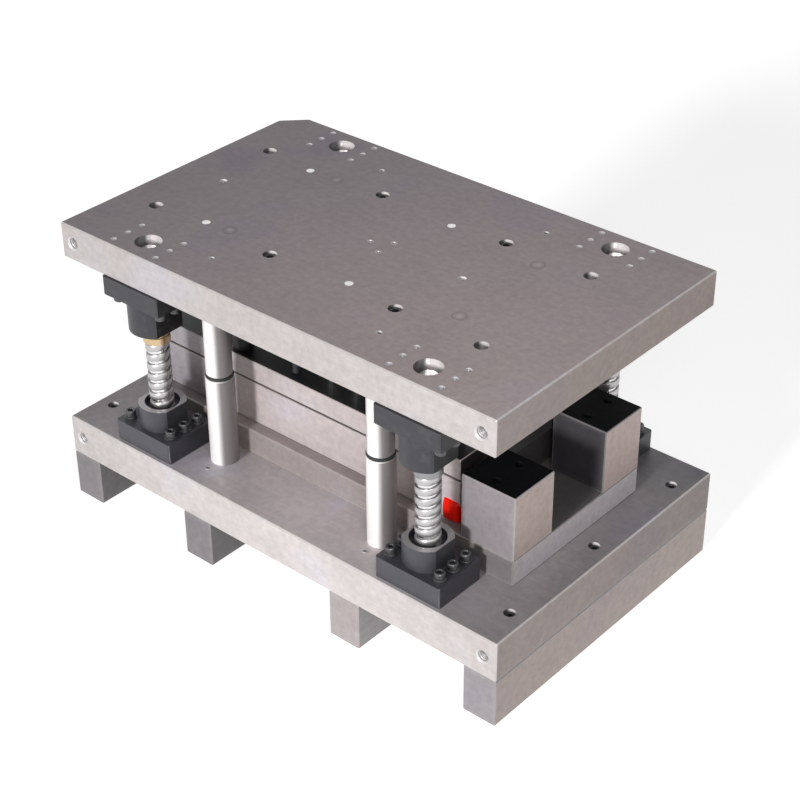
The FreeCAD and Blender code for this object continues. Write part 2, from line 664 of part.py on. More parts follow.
def make_post_springs():
    """Flat-wire springs that carry the ball cages, from the seat in the post base up."""
    length = "(cage_bottom - base_boss_top + base_recess_depth)"
    inner = "(post_dia / 2 + spring_clear)"
    outer = f"({inner} + spring_wire_thick)"
    for (name, sx, sy), (x, y) in zip(CORNERS, POSTS):
        body = new_body(f"post_spring_{name}")
        wire = new_sketch(body, "XZ_Plane")
        corners = [(inner, "0"), (outer, "0"), (outer, "spring_wire_wide"), (inner, "spring_wire_wide")]
        draw_outline(wire, corners)
        coil = body.newObject("PartDesign::AdditiveHelix", "Coil")
        coil.Profile = wire
        coil.ReferenceAxis = (wire, ["V_Axis"])
        coil.Mode = 0
        bind(coil, "Height", f"{length} - spring_wire_wide")
        bind(coil, "Pitch", "spring_pitch")
        place(body, (x, y, SPRING_SEAT))
        node(body, f"post_spring_{name}")


def make_stop_posts():
    spigot_low = "(stop_split - stop_ring_thick)"
    lower_half, spigot_half = "lower_stop_dia / 2", "stop_spigot_dia / 2"
    lower = [
        ("0", "0"),
        (lower_half, "0"),
        (lower_half, f"{spigot_low} - block_edge"),
        (f"{lower_half} - block_edge", spigot_low),
        (spigot_half, spigot_low),
        (spigot_half, "stop_split"),
        ("0", "stop_split"),
    ]
    upper_half, upper_length = "upper_stop_dia / 2", "(shoe_gap - stop_split)"
    screw_half = "stop_screw_dia / 2"
    screw_in = f"({upper_length} - stop_screw_length + upper_thick - stop_screw_sunk)"
    upper = [
        ("0", "0"),
        (f"{upper_half} - block_edge", "0"),
        (upper_half, "block_edge"),
        (upper_half, upper_length),
        (screw_half, upper_length),
        (screw_half, screw_in),
        ("0", screw_in),
    ]
    ring_half, ring_bore = "stop_ring_dia / 2", "stop_spigot_dia / 2"
    ring = [
        (ring_bore, "0"),
        (ring_half, "0"),
        (ring_half, "stop_ring_thick"),
        (ring_bore, "stop_ring_thick"),
    ]
    rings = []
    for (name, sx, sy), (x, y) in zip(CORNERS, STOPS):
        node(turned(f"lower_stop_{name}", lower, (x, y, LOWER_TOP)), f"lower_stop_{name}")
        rings.append(turned(f"stop_ring_{name}", ring, (x, y, f"{SPLIT} - stop_ring_thick")))
        node(turned(f"upper_stop_{name}", upper, (x, y, SPLIT)), f"upper_stop_{name}")
    bundle("stop_rings", rings)
    low = f"{UPPER_TOP} - stop_screw_sunk - stop_screw_length"
    size = ("stop_screw_dia", "stop_screw_length")
    screws = [pin(f"stop_screw_{i}", (x, y, low), *size) for i, (x, y) in enumerate(STOPS)]
    bundle("stop_post_screws", screws)


# The upper half.


def make_upper_shoe():
    body = new_body("upper_shoe")
    outline = new_sketch(body, height=UPPER_BOTTOM)
    half_x, half_y = "upper_length / 2", "upper_depth / 2"
    corners = [
        (f"-{half_x}", f"-{half_y}"),
        (half_x, f"-{half_y}"),
        (half_x, half_y),
        (f"-{half_x} + corner_cut", half_y),
        (f"-{half_x}", f"{half_y} - corner_cut"),
    ]
    draw_outline(outline, corners)
    break_edges(body, pad(body, outline, "upper_thick"), "plate_edge")
    lift_holes(body, "upper_length", "upper_depth", f"{UPPER_BOTTOM} + upper_thick / 2")
    cut_holes(body, UPPER_TOP, "post_hole_dia", POSTS)
    cut_holes(body, UPPER_TOP, "flange_screw_dia", FLANGE_SCREWS)
    cut_holes(body, UPPER_TOP, "bore_hole_dia", RAM_HOLES)
    cut_holes(body, UPPER_TOP, "bore_dia", RAM_HOLES, "ram_bore_depth")
    cut_holes(body, UPPER_TOP, "cap_dia", PLATE_SCREWS)
    cut_holes(body, UPPER_TOP, "bore_dia", PLATE_SCREWS, "cap_head_high + cap_sunk")
    cut_holes(body, UPPER_TOP, "dowel_dia", PLATE_DOWELS)
    cut_holes(body, UPPER_TOP, "stop_screw_dia", STOPS)
    cut_holes(body, UPPER_TOP, "locate_dia", [("-locate_left_x", "0"), ("locate_right_x", "0")])
    shank = [(f"shank_circle / 2 * cos({a})", f"shank_circle / 2 * sin({a})") for a in SHANK_ANGLES]
    cut_holes(body, UPPER_TOP, "shank_core_dia", shank, "shank_depth")
    node(body, "upper_shoe")


def make_bushings():
    sleeves = []
    flange_low = "housing_length - housing_flange_thick"
    for (name, sx, sy), (x, y) in zip(CORNERS, POSTS):
        housing = flange_with_boss(
            f"bushing_housing_{name}",
            flange_low,
            "housing_flange_thick",
            "0",
            flange_low,
            "housing_dia",
            flange_low,
            flange_low,
        )
        cut_holes(housing, "housing_length", "bushing_dia", [("0", "0")])
        flange_holes(housing, "housing_length", "flange_screw_dia")
        place(housing, (x, y, f"{UPPER_BOTTOM} - housing_length"))
        node(housing, f"bushing_housing_{name}")
        track, outer = "bushing_bore / 2", "bushing_dia / 2"
        sleeve = [
            (f"{track} + block_edge", "0"),
            (outer, "0"),
            (outer, "housing_length"),
            (track, "housing_length"),
            (track, "block_edge"),
        ]
        sleeves.append(turned(f"bushing_{name}", sleeve, (x, y, f"{UPPER_BOTTOM} - housing_length")))
    bundle("guide_bushings", sleeves)
    seat = f"{UPPER_BOTTOM} - housing_flange_thick"
    screws = [
        flange_screw(f"bushing_screw_{i}", (x, y, seat), "housing_flange_thick", -1)
        for i, (x, y) in enumerate(FLANGE_SCREWS)
    ]
    bundle("bushing_screws", screws)


def make_ball_cages():
    """Brass cages between post and ball track, with a collar that rests on the spring."""
    inner = "(post_dia / 2 + cage_clear)"
    outer = "(bushing_bore / 2 - cage_clear)"
    profile = [
        (inner, "0"),
        ("cage_collar_dia / 2", "0"),
        ("cage_collar_dia / 2", "cage_collar_high"),
        (outer, "cage_collar_high"),
        (outer, "cage_length"),
        (inner, "cage_length"),
    ]
    cages = [
        turned(f"cage_{name}", profile, (x, y, f"{LOWER_TOP} + cage_bottom"))
        for (name, sx, sy), (x, y) in zip(CORNERS, POSTS)
    ]
    bundle("ball_cages", cages)


def make_punch_plates():
    backing = plate(
        "punch_backing_plate", "die_length", HOLDER_DEPTH, HOLDER_TOP, "backing_thick", "block_edge"
    )
    cut_holes(backing, UPPER_BOTTOM, "cap_dia", PLATE_SCREWS)
    cut_holes(backing, UPPER_BOTTOM, "dowel_dia", PLATE_DOWELS)
    cut_holes(backing, UPPER_BOTTOM, "strip_head_dia + 2 * head_clear", STRIP_BOLTS)
    holder = plate("punch_holder", "die_length", HOLDER_DEPTH, HOLDER_BOTTOM, "holder_thick", "block_edge")
    cut_holes(holder, HOLDER_TOP, "cap_dia", PLATE_SCREWS, "cap_grip")
    cut_holes(holder, HOLDER_TOP, "dowel_dia", PLATE_DOWELS, "dowel_grip")
    cut_holes(holder, HOLDER_TOP, "strip_bolt_dia + 2 * running_clear", STRIP_BOLTS)
    cut_holes(holder, HOLDER_TOP, "strip_head_dia + 2 * head_clear", STRIP_BOLTS, "holder_thick - strip_shelf")
    cut_holes(holder, HOLDER_TOP, "guide_pin_dia", GUIDE_PINS)
    cut_holes(holder, HOLDER_TOP, "pilot_dia", PILOTS)
    pocket_dia = "urethane_dia + 2 * urethane_pocket_clear"
    cut_holes(holder, f"{HOLDER_BOTTOM} + urethane_pocket", pocket_dia, URETHANES, "urethane_pocket")
    for side, x in STATIONS:
        shank = new_sketch(holder, height=HOLDER_TOP)
        draw_rectangle(shank, "punch_length_x", "punch_depth_y", x)
        pocket(holder, shank)
        head = new_sketch(holder, height=HOLDER_TOP)
        draw_rectangle(head, "punch_length_x + 2 * punch_head", "punch_depth_y + 2 * punch_head", x)
        pocket(holder, head, "punch_head_thick")
    shank_length = "upper_thick - cap_head_high - cap_sunk + backing_thick + cap_grip"
    seat = f"{UPPER_TOP} - cap_head_high - cap_sunk"
    screws = [
        screw(f"plate_screw_{i}", (x, y, seat), "cap_dia", shank_length, "cap_head_dia", "cap_head_high")
        for i, (x, y) in enumerate(PLATE_SCREWS)
    ]
    bundle("punch_plate_screws", screws)
    low = f"{HOLDER_TOP} - dowel_grip"
    length = "dowel_grip + backing_thick + upper_thick"
    size = ("dowel_dia", length)
    dowels = [pin(f"plate_dowel_{i}", (x, y, low), *size) for i, (x, y) in enumerate(PLATE_DOWELS)]
    bundle("punch_plate_dowels", dowels)


def make_punches():
    tip = f"({DIE_TOP} - punch_entry)"
    punches = []
    for side, x in STATIONS:
        body = new_body(f"punch_{side}")
        shank = new_sketch(body, height=tip)
        draw_rectangle(shank, "punch_length_x", "punch_depth_y", x)
        pad(body, shank, f"{HOLDER_TOP} - {tip}")
        head = new_sketch(body, height=f"{HOLDER_TOP} - punch_head_thick")
        draw_rectangle(head, "punch_length_x + 2 * punch_head", "punch_depth_y + 2 * punch_head", x)
        pad(body, head, "punch_head_thick")
        punches.append(body)
    bundle("punches", punches)
    pilots = []
    half, pilot_length = "pilot_dia / 2", f"({HOLDER_TOP} - {tip} + punch_entry)"
    profile = [
        ("0", "0"),
        (f"{half} - punch_entry", "0"),
        (half, "2 * punch_entry"),
        (half, pilot_length),
        ("0", pilot_length),
    ]
    for i, (x, y) in enumerate(PILOTS):
        pilots.append(turned(f"pilot_{i}", profile, (x, y, f"{tip} - punch_entry")))
    bundle("pilot_punches", pilots)
    low = f"{DIE_TOP} - guide_pin_entry"
    pins = [
        pin(f"guide_pin_{i}", (x, y, low), "guide_pin_dia", f"{HOLDER_TOP} - ({low})")
        for i, (x, y) in enumerate(GUIDE_PINS)
    ]
    bundle("stripper_guide_pins", pins)


# The stripper, which hangs from the punch holder.


def make_stripper():
    body = new_body("stripper_plate")
    outline = new_sketch(body, height=STRIPPER_BOTTOM)
    left_x, end_x, side_y = f"-(die_length / 2 + {LEFT_REACH})", "die_length / 2", "die_depth / 2"
    tongue_x, tongue_y = f"({end_x} + tongue_reach)", "(base_depth / 2 - heel_depth - tongue_clear)"
    corners = [
        (left_x, f"-{side_y}"),
        (end_x, f"-{side_y}"),
        (end_x, f"-{tongue_y}"),
        (tongue_x, f"-{tongue_y}"),
        (tongue_x, tongue_y),
        (end_x, tongue_y),
        (end_x, side_y),
        (left_x, side_y),
    ]
    draw_outline(outline, corners)
    break_edges(body, pad(body, outline, "stripper_thick"), "block_edge")
    for side, x in STATIONS:
        sketch = new_sketch(body, height=STRIPPER_TOP)
        draw_rectangle(sketch, "punch_length_x + 2 * punch_clear", "punch_depth_y + 2 * punch_clear", x)
        pocket(body, sketch)
    cut_holes(body, STRIPPER_TOP, "guide_pin_dia + 2 * running_clear", GUIDE_PINS)
    cut_holes(body, STRIPPER_TOP, "pilot_dia + 2 * pilot_clear", PILOTS)
    cut_holes(body, STRIPPER_TOP, "strip_bolt_thread", STRIP_BOLTS, "strip_bolt_grip")
    node(body, "stripper_plate")
    thread, shoulder, head = "strip_bolt_thread / 2", "strip_bolt_dia / 2", "strip_head_dia / 2"
    shoulder_length = f"({HOLDER_BOTTOM} + strip_shelf - {STRIPPER_TOP})"
    profile = [
        ("0", "-strip_bolt_grip"),
        (thread, "-strip_bolt_grip"),
        (thread, "0"),
        (shoulder, "0"),
        (shoulder, shoulder_length),
        (head, shoulder_length),
        (head, f"{shoulder_length} + strip_head_high"),
        ("0", f"{shoulder_length} + strip_head_high"),
    ]
    bolts = [turned(f"strip_bolt_{i}", profile, (x, y, STRIPPER_TOP)) for i, (x, y) in enumerate(STRIP_BOLTS)]
    bundle("stripper_bolts", bolts)
    bore, outer = "urethane_bore / 2", "urethane_dia / 2"
    length = f"({HOLDER_BOTTOM} + urethane_pocket - {STRIPPER_TOP})"
    tube = [(bore, "0"), (outer, "0"), (outer, length), (bore, length)]
    springs = [turned(f"urethane_{i}", tube, (x, y, STRIPPER_TOP)) for i, (x, y) in enumerate(URETHANES)]
    bundle("stripper_springs", springs)


make_lower_shoe()
make_parallels()
make_die_base()
make_die_block()
make_heel_blocks()
make_post_bases()
make_post_springs()
make_stop_posts()
make_upper_shoe()
make_bushings()
make_ball_cages()
make_punch_plates()
make_punches()
make_stripper()
doc.recompute()

for thing in doc.Objects:
    if "Invalid" in thing.State or "Error" in thing.State:
        raise RuntimeError(f"{thing.Label} failed: {thing.State}")
for thing in nodes:
    if thing.Shape.isNull() or not thing.Shape.isValid():
        raise RuntimeError(f"{thing.Label} has no valid shape")

os.makedirs("parts", exist_ok=True)
for thing in nodes:
    thing.Shape.exportStep(f"parts/{thing.Label}.step")
print(len(nodes), "nodes")
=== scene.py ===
"""Press die set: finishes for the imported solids, and the springs, ball cages, screws and soft parts."""

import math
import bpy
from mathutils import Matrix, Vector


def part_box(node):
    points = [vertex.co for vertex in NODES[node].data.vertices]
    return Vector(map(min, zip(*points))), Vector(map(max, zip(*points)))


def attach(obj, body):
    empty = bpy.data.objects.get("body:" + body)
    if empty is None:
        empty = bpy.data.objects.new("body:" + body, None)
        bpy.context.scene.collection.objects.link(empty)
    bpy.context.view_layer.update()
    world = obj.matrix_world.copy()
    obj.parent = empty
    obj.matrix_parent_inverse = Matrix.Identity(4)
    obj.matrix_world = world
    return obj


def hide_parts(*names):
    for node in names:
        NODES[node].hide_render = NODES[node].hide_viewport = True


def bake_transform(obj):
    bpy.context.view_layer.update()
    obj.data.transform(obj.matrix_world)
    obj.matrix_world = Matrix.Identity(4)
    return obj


bl_info = {
    "name": "Press die set",
    "version": (1, 0, 0),
    "blender": (4, 5, 0),
    "location": "3D View > Sidebar > Die Set",
    "description": "Plates, guide units, springs, ball cages, screws and soft parts of a press die set",
    "category": "Object",
}

from collections import namedtuple

import bmesh
import bpy
from mathutils import Matrix, Vector

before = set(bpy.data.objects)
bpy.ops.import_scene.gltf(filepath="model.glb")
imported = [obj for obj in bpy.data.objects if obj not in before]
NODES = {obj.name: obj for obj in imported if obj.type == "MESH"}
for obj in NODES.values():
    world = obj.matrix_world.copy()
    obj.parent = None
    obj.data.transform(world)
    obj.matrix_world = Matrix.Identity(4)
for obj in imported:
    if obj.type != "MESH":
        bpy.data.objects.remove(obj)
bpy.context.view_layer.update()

MM = 0.001
UP = Vector((0, 0, 1))
ORIGIN = (0.0, 0.0, 0.0)
SIDES = (-1, 1)
ROWS = (-1, 0, 1)
CORNERS = ("front_left", "front_right", "rear_left", "rear_right")
HEEL_BLOCKS = ("heel_block_front_right", "heel_block_rear_right")

# Places on the top face of the upper shoe.
TOP = 0.390
SHANK_CIRCLE = 0.016
STOP_SCREWS = [(x * 0.126, y * 0.146, TOP) for x in SIDES for y in SIDES]
SHANK_HOLES = [
    (SHANK_CIRCLE * math.cos(turn), SHANK_CIRCLE * math.sin(turn), TOP)
    for turn in map(math.radians, (60, 180, 300))
]
# The small holes listed in BRIGHT_HOLES get near-white walls as a painted highlight.
BRIGHT_HOLES = [(-0.255, 0.0, TOP), (0.120, 0.0, TOP), *STOP_SCREWS, *SHANK_HOLES]
PLUGS = [(-0.158, -0.085, TOP), (-0.151, 0.091, TOP), (0.165, 0.079, TOP), (0.169, -0.065, TOP)]

# Thread and head diameters of the sunk cap screws.
M6, M8, M10 = (6 * MM, 10 * MM), (8 * MM, 13 * MM), (10 * MM, 16 * MM)

KEY_PLACE, KEY_ANGLE = (0.28, -3.3, 1.05), math.radians(11)
FILL_PLACE, FILL_SIZE = (1.75, -1.55, 1.75), 0.8
LAMP_AIM = Vector((0.0, 0.0, 0.2))
CAMERA = Matrix((
    (0.75735816, -0.35253937, 0.54965863, 1.26026),
    (0.65297652, 0.41595914, -0.63292943, -1.41939),
    (-0.00550299, 0.83826845, 0.54522998, 1.41361),
    (0.0, 0.0, 0.0, 1.0),
))
SENSOR_WIDTH, FOCAL_LENGTH = 36.0, 84.71

# Directions of grinding: the noise is drawn out along the axis with the small number.
ALONG_X, ALONG_Y, UPRIGHT = (60.0, 900.0, 900.0), (900.0, 60.0, 900.0), (900.0, 900.0, 60.0)

# Casts of colour, bluer and warmer for the darker and lighter copies of tones that paint light and shade,
# bluer for stains, and small marks in the steel.
BLUER, WARMER, STAIN = (0.96, 1.0, 1.07), (1.08, 0.98, 0.93), (0.97, 0.99, 1.06)
SOOT, DUST, WORN_BLACK = (0.10, 0.09, 0.09), (0.16, 0.155, 0.16), (0.30, 0.30, 0.32)


def middle(name):
    """Centre of a solid's box."""
    low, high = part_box(name)
    return (low + high) / 2


def size_of(name):
    """Size of a solid's box."""
    low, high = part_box(name)
    return high - low


def depth_in(box, point):
    """How far a point lies inside a box."""
    low, high = box
    return min(min(point[i] - low[i], high[i] - point[i]) for i in range(3))


def four(stem):
    """The names of the four like solids at the set's corners."""
    return [f"{stem}_{corner}" for corner in CORNERS]


def setting(kind, **fixed):
    """A short word for one kind of property, which takes its default, name and description."""
    fixed = {"min": 0, **fixed}

    def made(default, name, description):
        return kind(default=default, name=name, description=description, **fixed)

    return made


length = setting(bpy.props.FloatProperty, unit="LENGTH", subtype="DISTANCE", precision=5)
share = setting(bpy.props.FloatProperty, max=1.0, subtype="FACTOR")
tint = setting(bpy.props.FloatVectorProperty, max=1.0, size=3, subtype="COLOR")
strength = setting(bpy.props.FloatProperty)
power = setting(bpy.props.FloatProperty, unit="POWER")
amount = setting(bpy.props.IntProperty, min=6, max=40)


class DieSetSizes(bpy.types.PropertyGroup):
    """Sizes of the pieces that are made here."""

    wire_wide: length(8.5 * MM, "Spring wire width", "Flat wire of a post spring, along the post")
    wire_thick: length(2.0 * MM, "Spring wire thickness", "Flat wire of a post spring, away from the post")
    wire_pitch: length(13.5 * MM, "Spring pitch", "One turn of a post spring to the next")
    ball: length(2.9 * MM, "Cage ball", "Diameter of a ball in the ball cages")
    ball_row: length(6.5 * MM, "Ball row pitch", "One row of balls to the next, along the post")
    balls_round: amount(14, "Balls in a row", "Balls in one row round the post")
    flange_screw: length(8.0 * MM, "Flange screw", "Thread diameter of the screws in the guide unit flanges")
    flange_head: length(13.0 * MM, "Flange screw head", "Head diameter of those screws")
    washer: length(15.0 * MM, "Washer", "Outside of the washers under those screws")
    thread_pitch: length(2.0 * MM, "Lifting thread pitch", "Pitch of the threads in the lifting holes")
    pad_round: length(1.8 * MM, "Pad corner", "Rounded edges of the red buffer pad")


class DieSetFinish(bpy.types.PropertyGroup):
    """Colours and wear of the surfaces, and the tones that paint light and shade on them."""

    # Tops, fronts and left and right faces take tones of their own, lighter or darker as lamps would light
    # them: painted light and shade.
    upper_top: tint((0.44, 0.36, 0.36), "Upper shoe top", "Ground top face of the upper shoe")
    lower_top: tint((0.68, 0.62, 0.63), "Lower shoe top", "Ground top face of the lower shoe")
    shoe_side: tint((0.56, 0.515, 0.505), "Shoe sides", "Milled side faces of the two shoes")
    parallel_end: tint((0.36, 0.32, 0.315), "Parallel ends", "Sawn ends of the bars under the lower shoe")
    parallel_side: tint((0.62, 0.57, 0.55), "Parallel sides", "Ground faces of the bars under the lower shoe")
    base_plate: tint((0.32, 0.28, 0.27), "Die base plate", "Ground faces of the die base plate")
    die_side: tint((0.54, 0.475, 0.47), "Die sides", "Ground side faces of the die block and the stripper")
    heel_side: tint((0.36, 0.31, 0.305), "Heel block fronts", "Ground faces of the heel blocks")
    heel_flank: tint((0.60, 0.53, 0.52), "Heel block flanks", "Left and right faces of the heel blocks")
    # Painted shade: a near-black put on the heel block and stripper tops and the punch plates, where the
    # upper shoe shades them.
    dark_steel: tint((0.010, 0.011, 0.013), "Dark steel", "Tops of heel blocks and stripper, punch plates")
    bright_edge: tint((0.74, 0.71, 0.69), "Broken edges", "Bare bright metal along the broken edges")
    # Painted light and shade in the holes: bore walls are shaded, brighter where they face the front, and the
    # small holes of the top face near white as a painted highlight.
    bore: tint((0.42, 0.39, 0.38), "Bores", "Machined walls of holes and counterbores")
    bore_front: tint((0.86, 0.80, 0.80), "Bore fronts", "Walls of holes where they face the front")
    small_bore: tint((0.80, 0.77, 0.77), "Small bores", "Walls of the small holes in the top face")
    small_front: tint((0.98, 0.95, 0.95), "Small bore fronts", "Those walls where they face the front")
    countersink: tint((0.66, 0.64, 0.64), "Countersinks", "Cones and walls of the lifting holes")
    thread: tint((0.52, 0.50, 0.51), "Threads", "Threads and mouths of the tapped holes")
    black_oxide: tint((0.050, 0.048, 0.053), "Black oxide", "Blackened cast steel of the guide units")
    machined_rim: tint((0.40, 0.39, 0.39), "Machined rims", "Bare rims on top of the post bases")
    screw_black: tint((0.028, 0.028, 0.032), "Screw black", "Blackened sunk screws")
    screw_grey: tint((0.10, 0.10, 0.105), "Screw grey", "Worn black of the flange screws")
    chrome: tint((0.78, 0.77, 0.77), "Polished steel", "Posts, bushings, pins and balls")
    dowel: tint((0.90, 0.89, 0.88), "Dowels", "Ground steel of the dowels")
    # Painted highlight and shade: stop posts near white where they face front or back, dark on their left and
    # right flanks.
    stop_post: tint((0.90, 0.87, 0.86), "Stop posts", "Turned steel of the stop posts")
    stop_flank: tint((0.22, 0.20, 0.20), "Stop post flanks", "Left and right flanks of the stop posts")
    spring_wire: tint((0.50, 0.49, 0.49), "Spring wire", "Flat wire of the post springs")
    brass: tint((0.62, 0.47, 0.28), "Cage brass", "Sleeves of the ball cages")
    # Painted shade: the front right cage sleeve is a darker grey steel in place of brass.
    plain_cage: tint((0.30, 0.30, 0.31), "Plain cage", "Steel sleeve of the front right ball cage")
    rubber: tint((0.016, 0.016, 0.018), "Black rubber", "Rings of the stop posts, stripper springs")
    urethane: tint((0.92, 0.010, 0.001), "Red urethane", "Buffer pad")
    edge_width: length(1.9 * MM, "Edge width", "How far the bright metal reaches from an edge")
    mottle: share(0.85, "Mottle", "Strength of the cloudy patches on ground steel")
    grain: share(0.35, "Grain", "Strength of the grinding and milling marks")


class DieSetStage(bpy.types.PropertyGroup):
    """Floor, lamps and background."""

    floor_size: length(14.0, "Floor size", "Side of the plain pale floor")
    floor_tint: tint((0.90, 0.90, 0.90), "Floor", "Colour of the floor")
    floor_glow: share(0.72, "Floor lift", "Light added where the camera or a reflection sees the floor")
    ambient: share(0.12, "Ambient", "Strength of the even light from all round")
    key_strength: strength(2.75, "Key strength", "Soft low light from the front")
    fill_power: power(18.0, "Fill power", "Soft lamp above and to the right")


# Node trees.


class Wiring:
    """Short words for adding and joining the nodes of one tree."""

    def __init__(self, tree):
        self.tree = tree

    def add(self, kind, inputs=(), **settings):
        made = self.tree.nodes.new(kind)
        for name, value in settings.items():
            setattr(made, name, value)
        for key, value in dict(inputs).items():
            self.feed(made.inputs[key], value)
        return made

    def feed(self, socket, value):
        if isinstance(value, bpy.types.NodeSocket):
            self.tree.links.new(value, socket)
        elif socket.type == "RGBA":
            socket.default_value = (*value[:3], 1.0)
        else:
            socket.default_value = value

    def math(self, operation, *values, clamp=False):
        made = self.add("ShaderNodeMath", enumerate(values), operation=operation, use_clamp=clamp)
        return made.outputs[0]

    def plus(self, first, second):
        return self.math("ADD", first, second)

    def less(self, first, second):
        return self.math("SUBTRACT", first, second)

    def times(self, first, second):
        return self.math("MULTIPLY", first, second)

    def weighted(self, first, weight, second):
        """Two values added with weights that make one."""
        return self.plus(self.times(first, weight), self.times(second, 1.0 - weight))

    def change(self, value, contrast):
        """A value from 0 to 1 as a change round zero."""
        return self.times(self.less(value, 0.5), contrast)

    def vector(self, operation, *values):
        return self.add("ShaderNodeVectorMath", enumerate(values), operation=operation).outputs[0]

    def distance(self, *points):
        made = self.add("ShaderNodeVectorMath", enumerate(points), operation="DISTANCE")
        return made.outputs["Value"]

    def split(self, vector):
        return self.add("ShaderNodeSeparateXYZ", {"Vector": vector}).outputs

    def mix(self, factor, first, second, blend="MIX"):
        wired = {0: factor, 6: first, 7: second}
        return self.add("ShaderNodeMix", wired, data_type="RGBA", blend_type=blend).outputs[2]

    def lay(self, colour, mask, amount, over):
        """The colour with another laid over it, as strongly as the mask times the amount."""
        return self.mix(self.times(mask, amount), colour, over)

    def ramp(self, value, low, high):
        """0 below low, 1 above high, and smooth between them."""
        wired = {"Value": value, "From Min": low, "From Max": high}
        made = self.add("ShaderNodeMapRange", wired, interpolation_type="SMOOTHSTEP")
        return made.outputs["Result"]

    def fall(self, value, low, high):
        """1 below low, 0 above high, and smooth between them."""
        return self.less(1.0, self.ramp(value, low, high))

    def between(self, value, low, high):
        """A value from 0 to 1 spread over low to high."""
        wired = {"Value": value, "To Min": low, "To Max": high}
        return self.add("ShaderNodeMapRange", wired).outputs["Result"]

    def noise(self, vector, scale, detail=3.0, roughness=0.55):
        wired = {"Vector": vector, "Scale": scale, "Detail": detail, "Roughness": roughness}
        return self.add("ShaderNodeTexNoise", wired).outputs["Fac"]


# Shared effects. Each function wires one node group from its inputs to its outputs.


def wire_grinding_marks(net, given, result):
    """Fine streaks drawn out along one direction, and a height for them."""
    drawn = net.vector("MULTIPLY", given["Vector"], given["Stretch"])
    fine = net.noise(drawn, 1.0, 4.0, 0.7)
    broad = net.noise(drawn, 0.21, 2.0, 0.5)
    both = net.weighted(fine, 0.6, broad)
    net.feed(result["Streaks"], net.change(both, given["Contrast"]))
    net.feed(result["Height"], both)


def wire_clouding(net, given, result):
    """Cloudy patches of handled, lightly oiled steel, round zero, and the larger stains in it."""
    small = net.noise(given["Vector"], given["Scale"], 4.0, 0.62)
    large = net.noise(given["Vector"], net.times(given["Scale"], 0.09), 2.0, 0.5)
    both = net.weighted(small, 0.62, large)
    net.feed(result["Patches"], net.change(both, given["Contrast"]))
    net.feed(result["Stains"], net.ramp(large, 0.52, 0.70))


def wire_edge_wear(net, given, result):
    """Bright metal along the edges of a box-shaped piece of the given size, broken up by noise."""
    half = (0.5, 0.5, 0.5)
    across = net.vector("SUBTRACT", net.add("ShaderNodeTexCoord").outputs["Generated"], half)
    inward = net.vector("SUBTRACT", half, net.vector("ABSOLUTE", across))
    x, y, z = net.split(net.vector("MULTIPLY", inward, given["Size"]))
    nearer, farther = net.math("MINIMUM", x, y), net.math("MAXIMUM", x, y)
    second = net.math("MAXIMUM", nearer, net.math("MINIMUM", farther, z))
    ragged = net.between(net.noise(given["Vector"], 260.0, 2.0), 0.55, 1.45)
    ratio = net.math("DIVIDE", second, net.times(given["Width"], ragged))
    net.feed(result["Edge"], net.fall(ratio, 0.75, 1.25))
    net.feed(result["Fringe"], net.fall(ratio, 1.0, 5.0))


def wire_plug_outline(net, given, result):
    """Dark ring round a flush plug in a level face, with a paler middle."""
    apart = net.distance(given["Vector"], given["Centre"])
    ratio = net.math("DIVIDE", apart, given["Radius"])
    off = net.math("ABSOLUTE", net.less(ratio, 1.0))
    net.feed(result["Ring"], net.fall(off, 0.05, 0.30))
    net.feed(result["Middle"], net.fall(ratio, 0.25, 0.6))


def wire_painted_shade_falloff(net, given, result):
    """Painted shade: 0 up to the start away from a lit point, growing to 1 at the reach from it."""
    apart = net.distance(given["Vector"], given["Clean Point"])
    span = net.less(given["Reach"], given["Start"])
    past = net.less(apart, given["Start"])
    net.feed(result["Painted Shade"], net.math("DIVIDE", past, span, clamp=True))


def wire_facing(net, given, result):
    """1 on faces that look up, to the left or right, round to the flanks of a post, or to the front."""
    x, y, z = net.split(net.add("ShaderNodeNewGeometry").outputs["Normal"])
    across = net.math("ABSOLUTE", x)
    net.feed(result["Up"], net.ramp(z, 0.80, 0.95))
    net.feed(result["Sideways"], net.ramp(across, 0.80, 0.95))
    net.feed(result["Flank"], net.ramp(across, 0.38, 0.78))
    net.feed(result["Front"], net.ramp(net.times(y, -1.0), 0.45, 0.88))


def wire_turning_marks(net, given, result):
    """Lathe or grinding rings round an upright post, round zero, and a height for them."""
    rings, scuffs = (
        net.noise(net.vector("MULTIPLY", given["Vector"], stretch), 1.0, 3.0, 0.6)
        for stretch in ((40.0, 40.0, 2200.0), (140.0, 140.0, 60.0))
    )
    both = net.weighted(rings, 0.45, scuffs)
    net.feed(result["Bands"], net.change(both, given["Contrast"]))
    net.feed(result["Height"], both)


def wire_cast_skin(net, given, result):
    """Grainy skin of blackened castings and moulded rubber, with dusty high spots."""
    dust = net.noise(given["Vector"], net.times(given["Scale"], 0.09), 4.0, 0.65)
    net.feed(result["Dust"], net.ramp(dust, 0.48, 0.78))
    net.feed(result["Height"], net.noise(given["Vector"], given["Scale"], 3.0, 0.6))


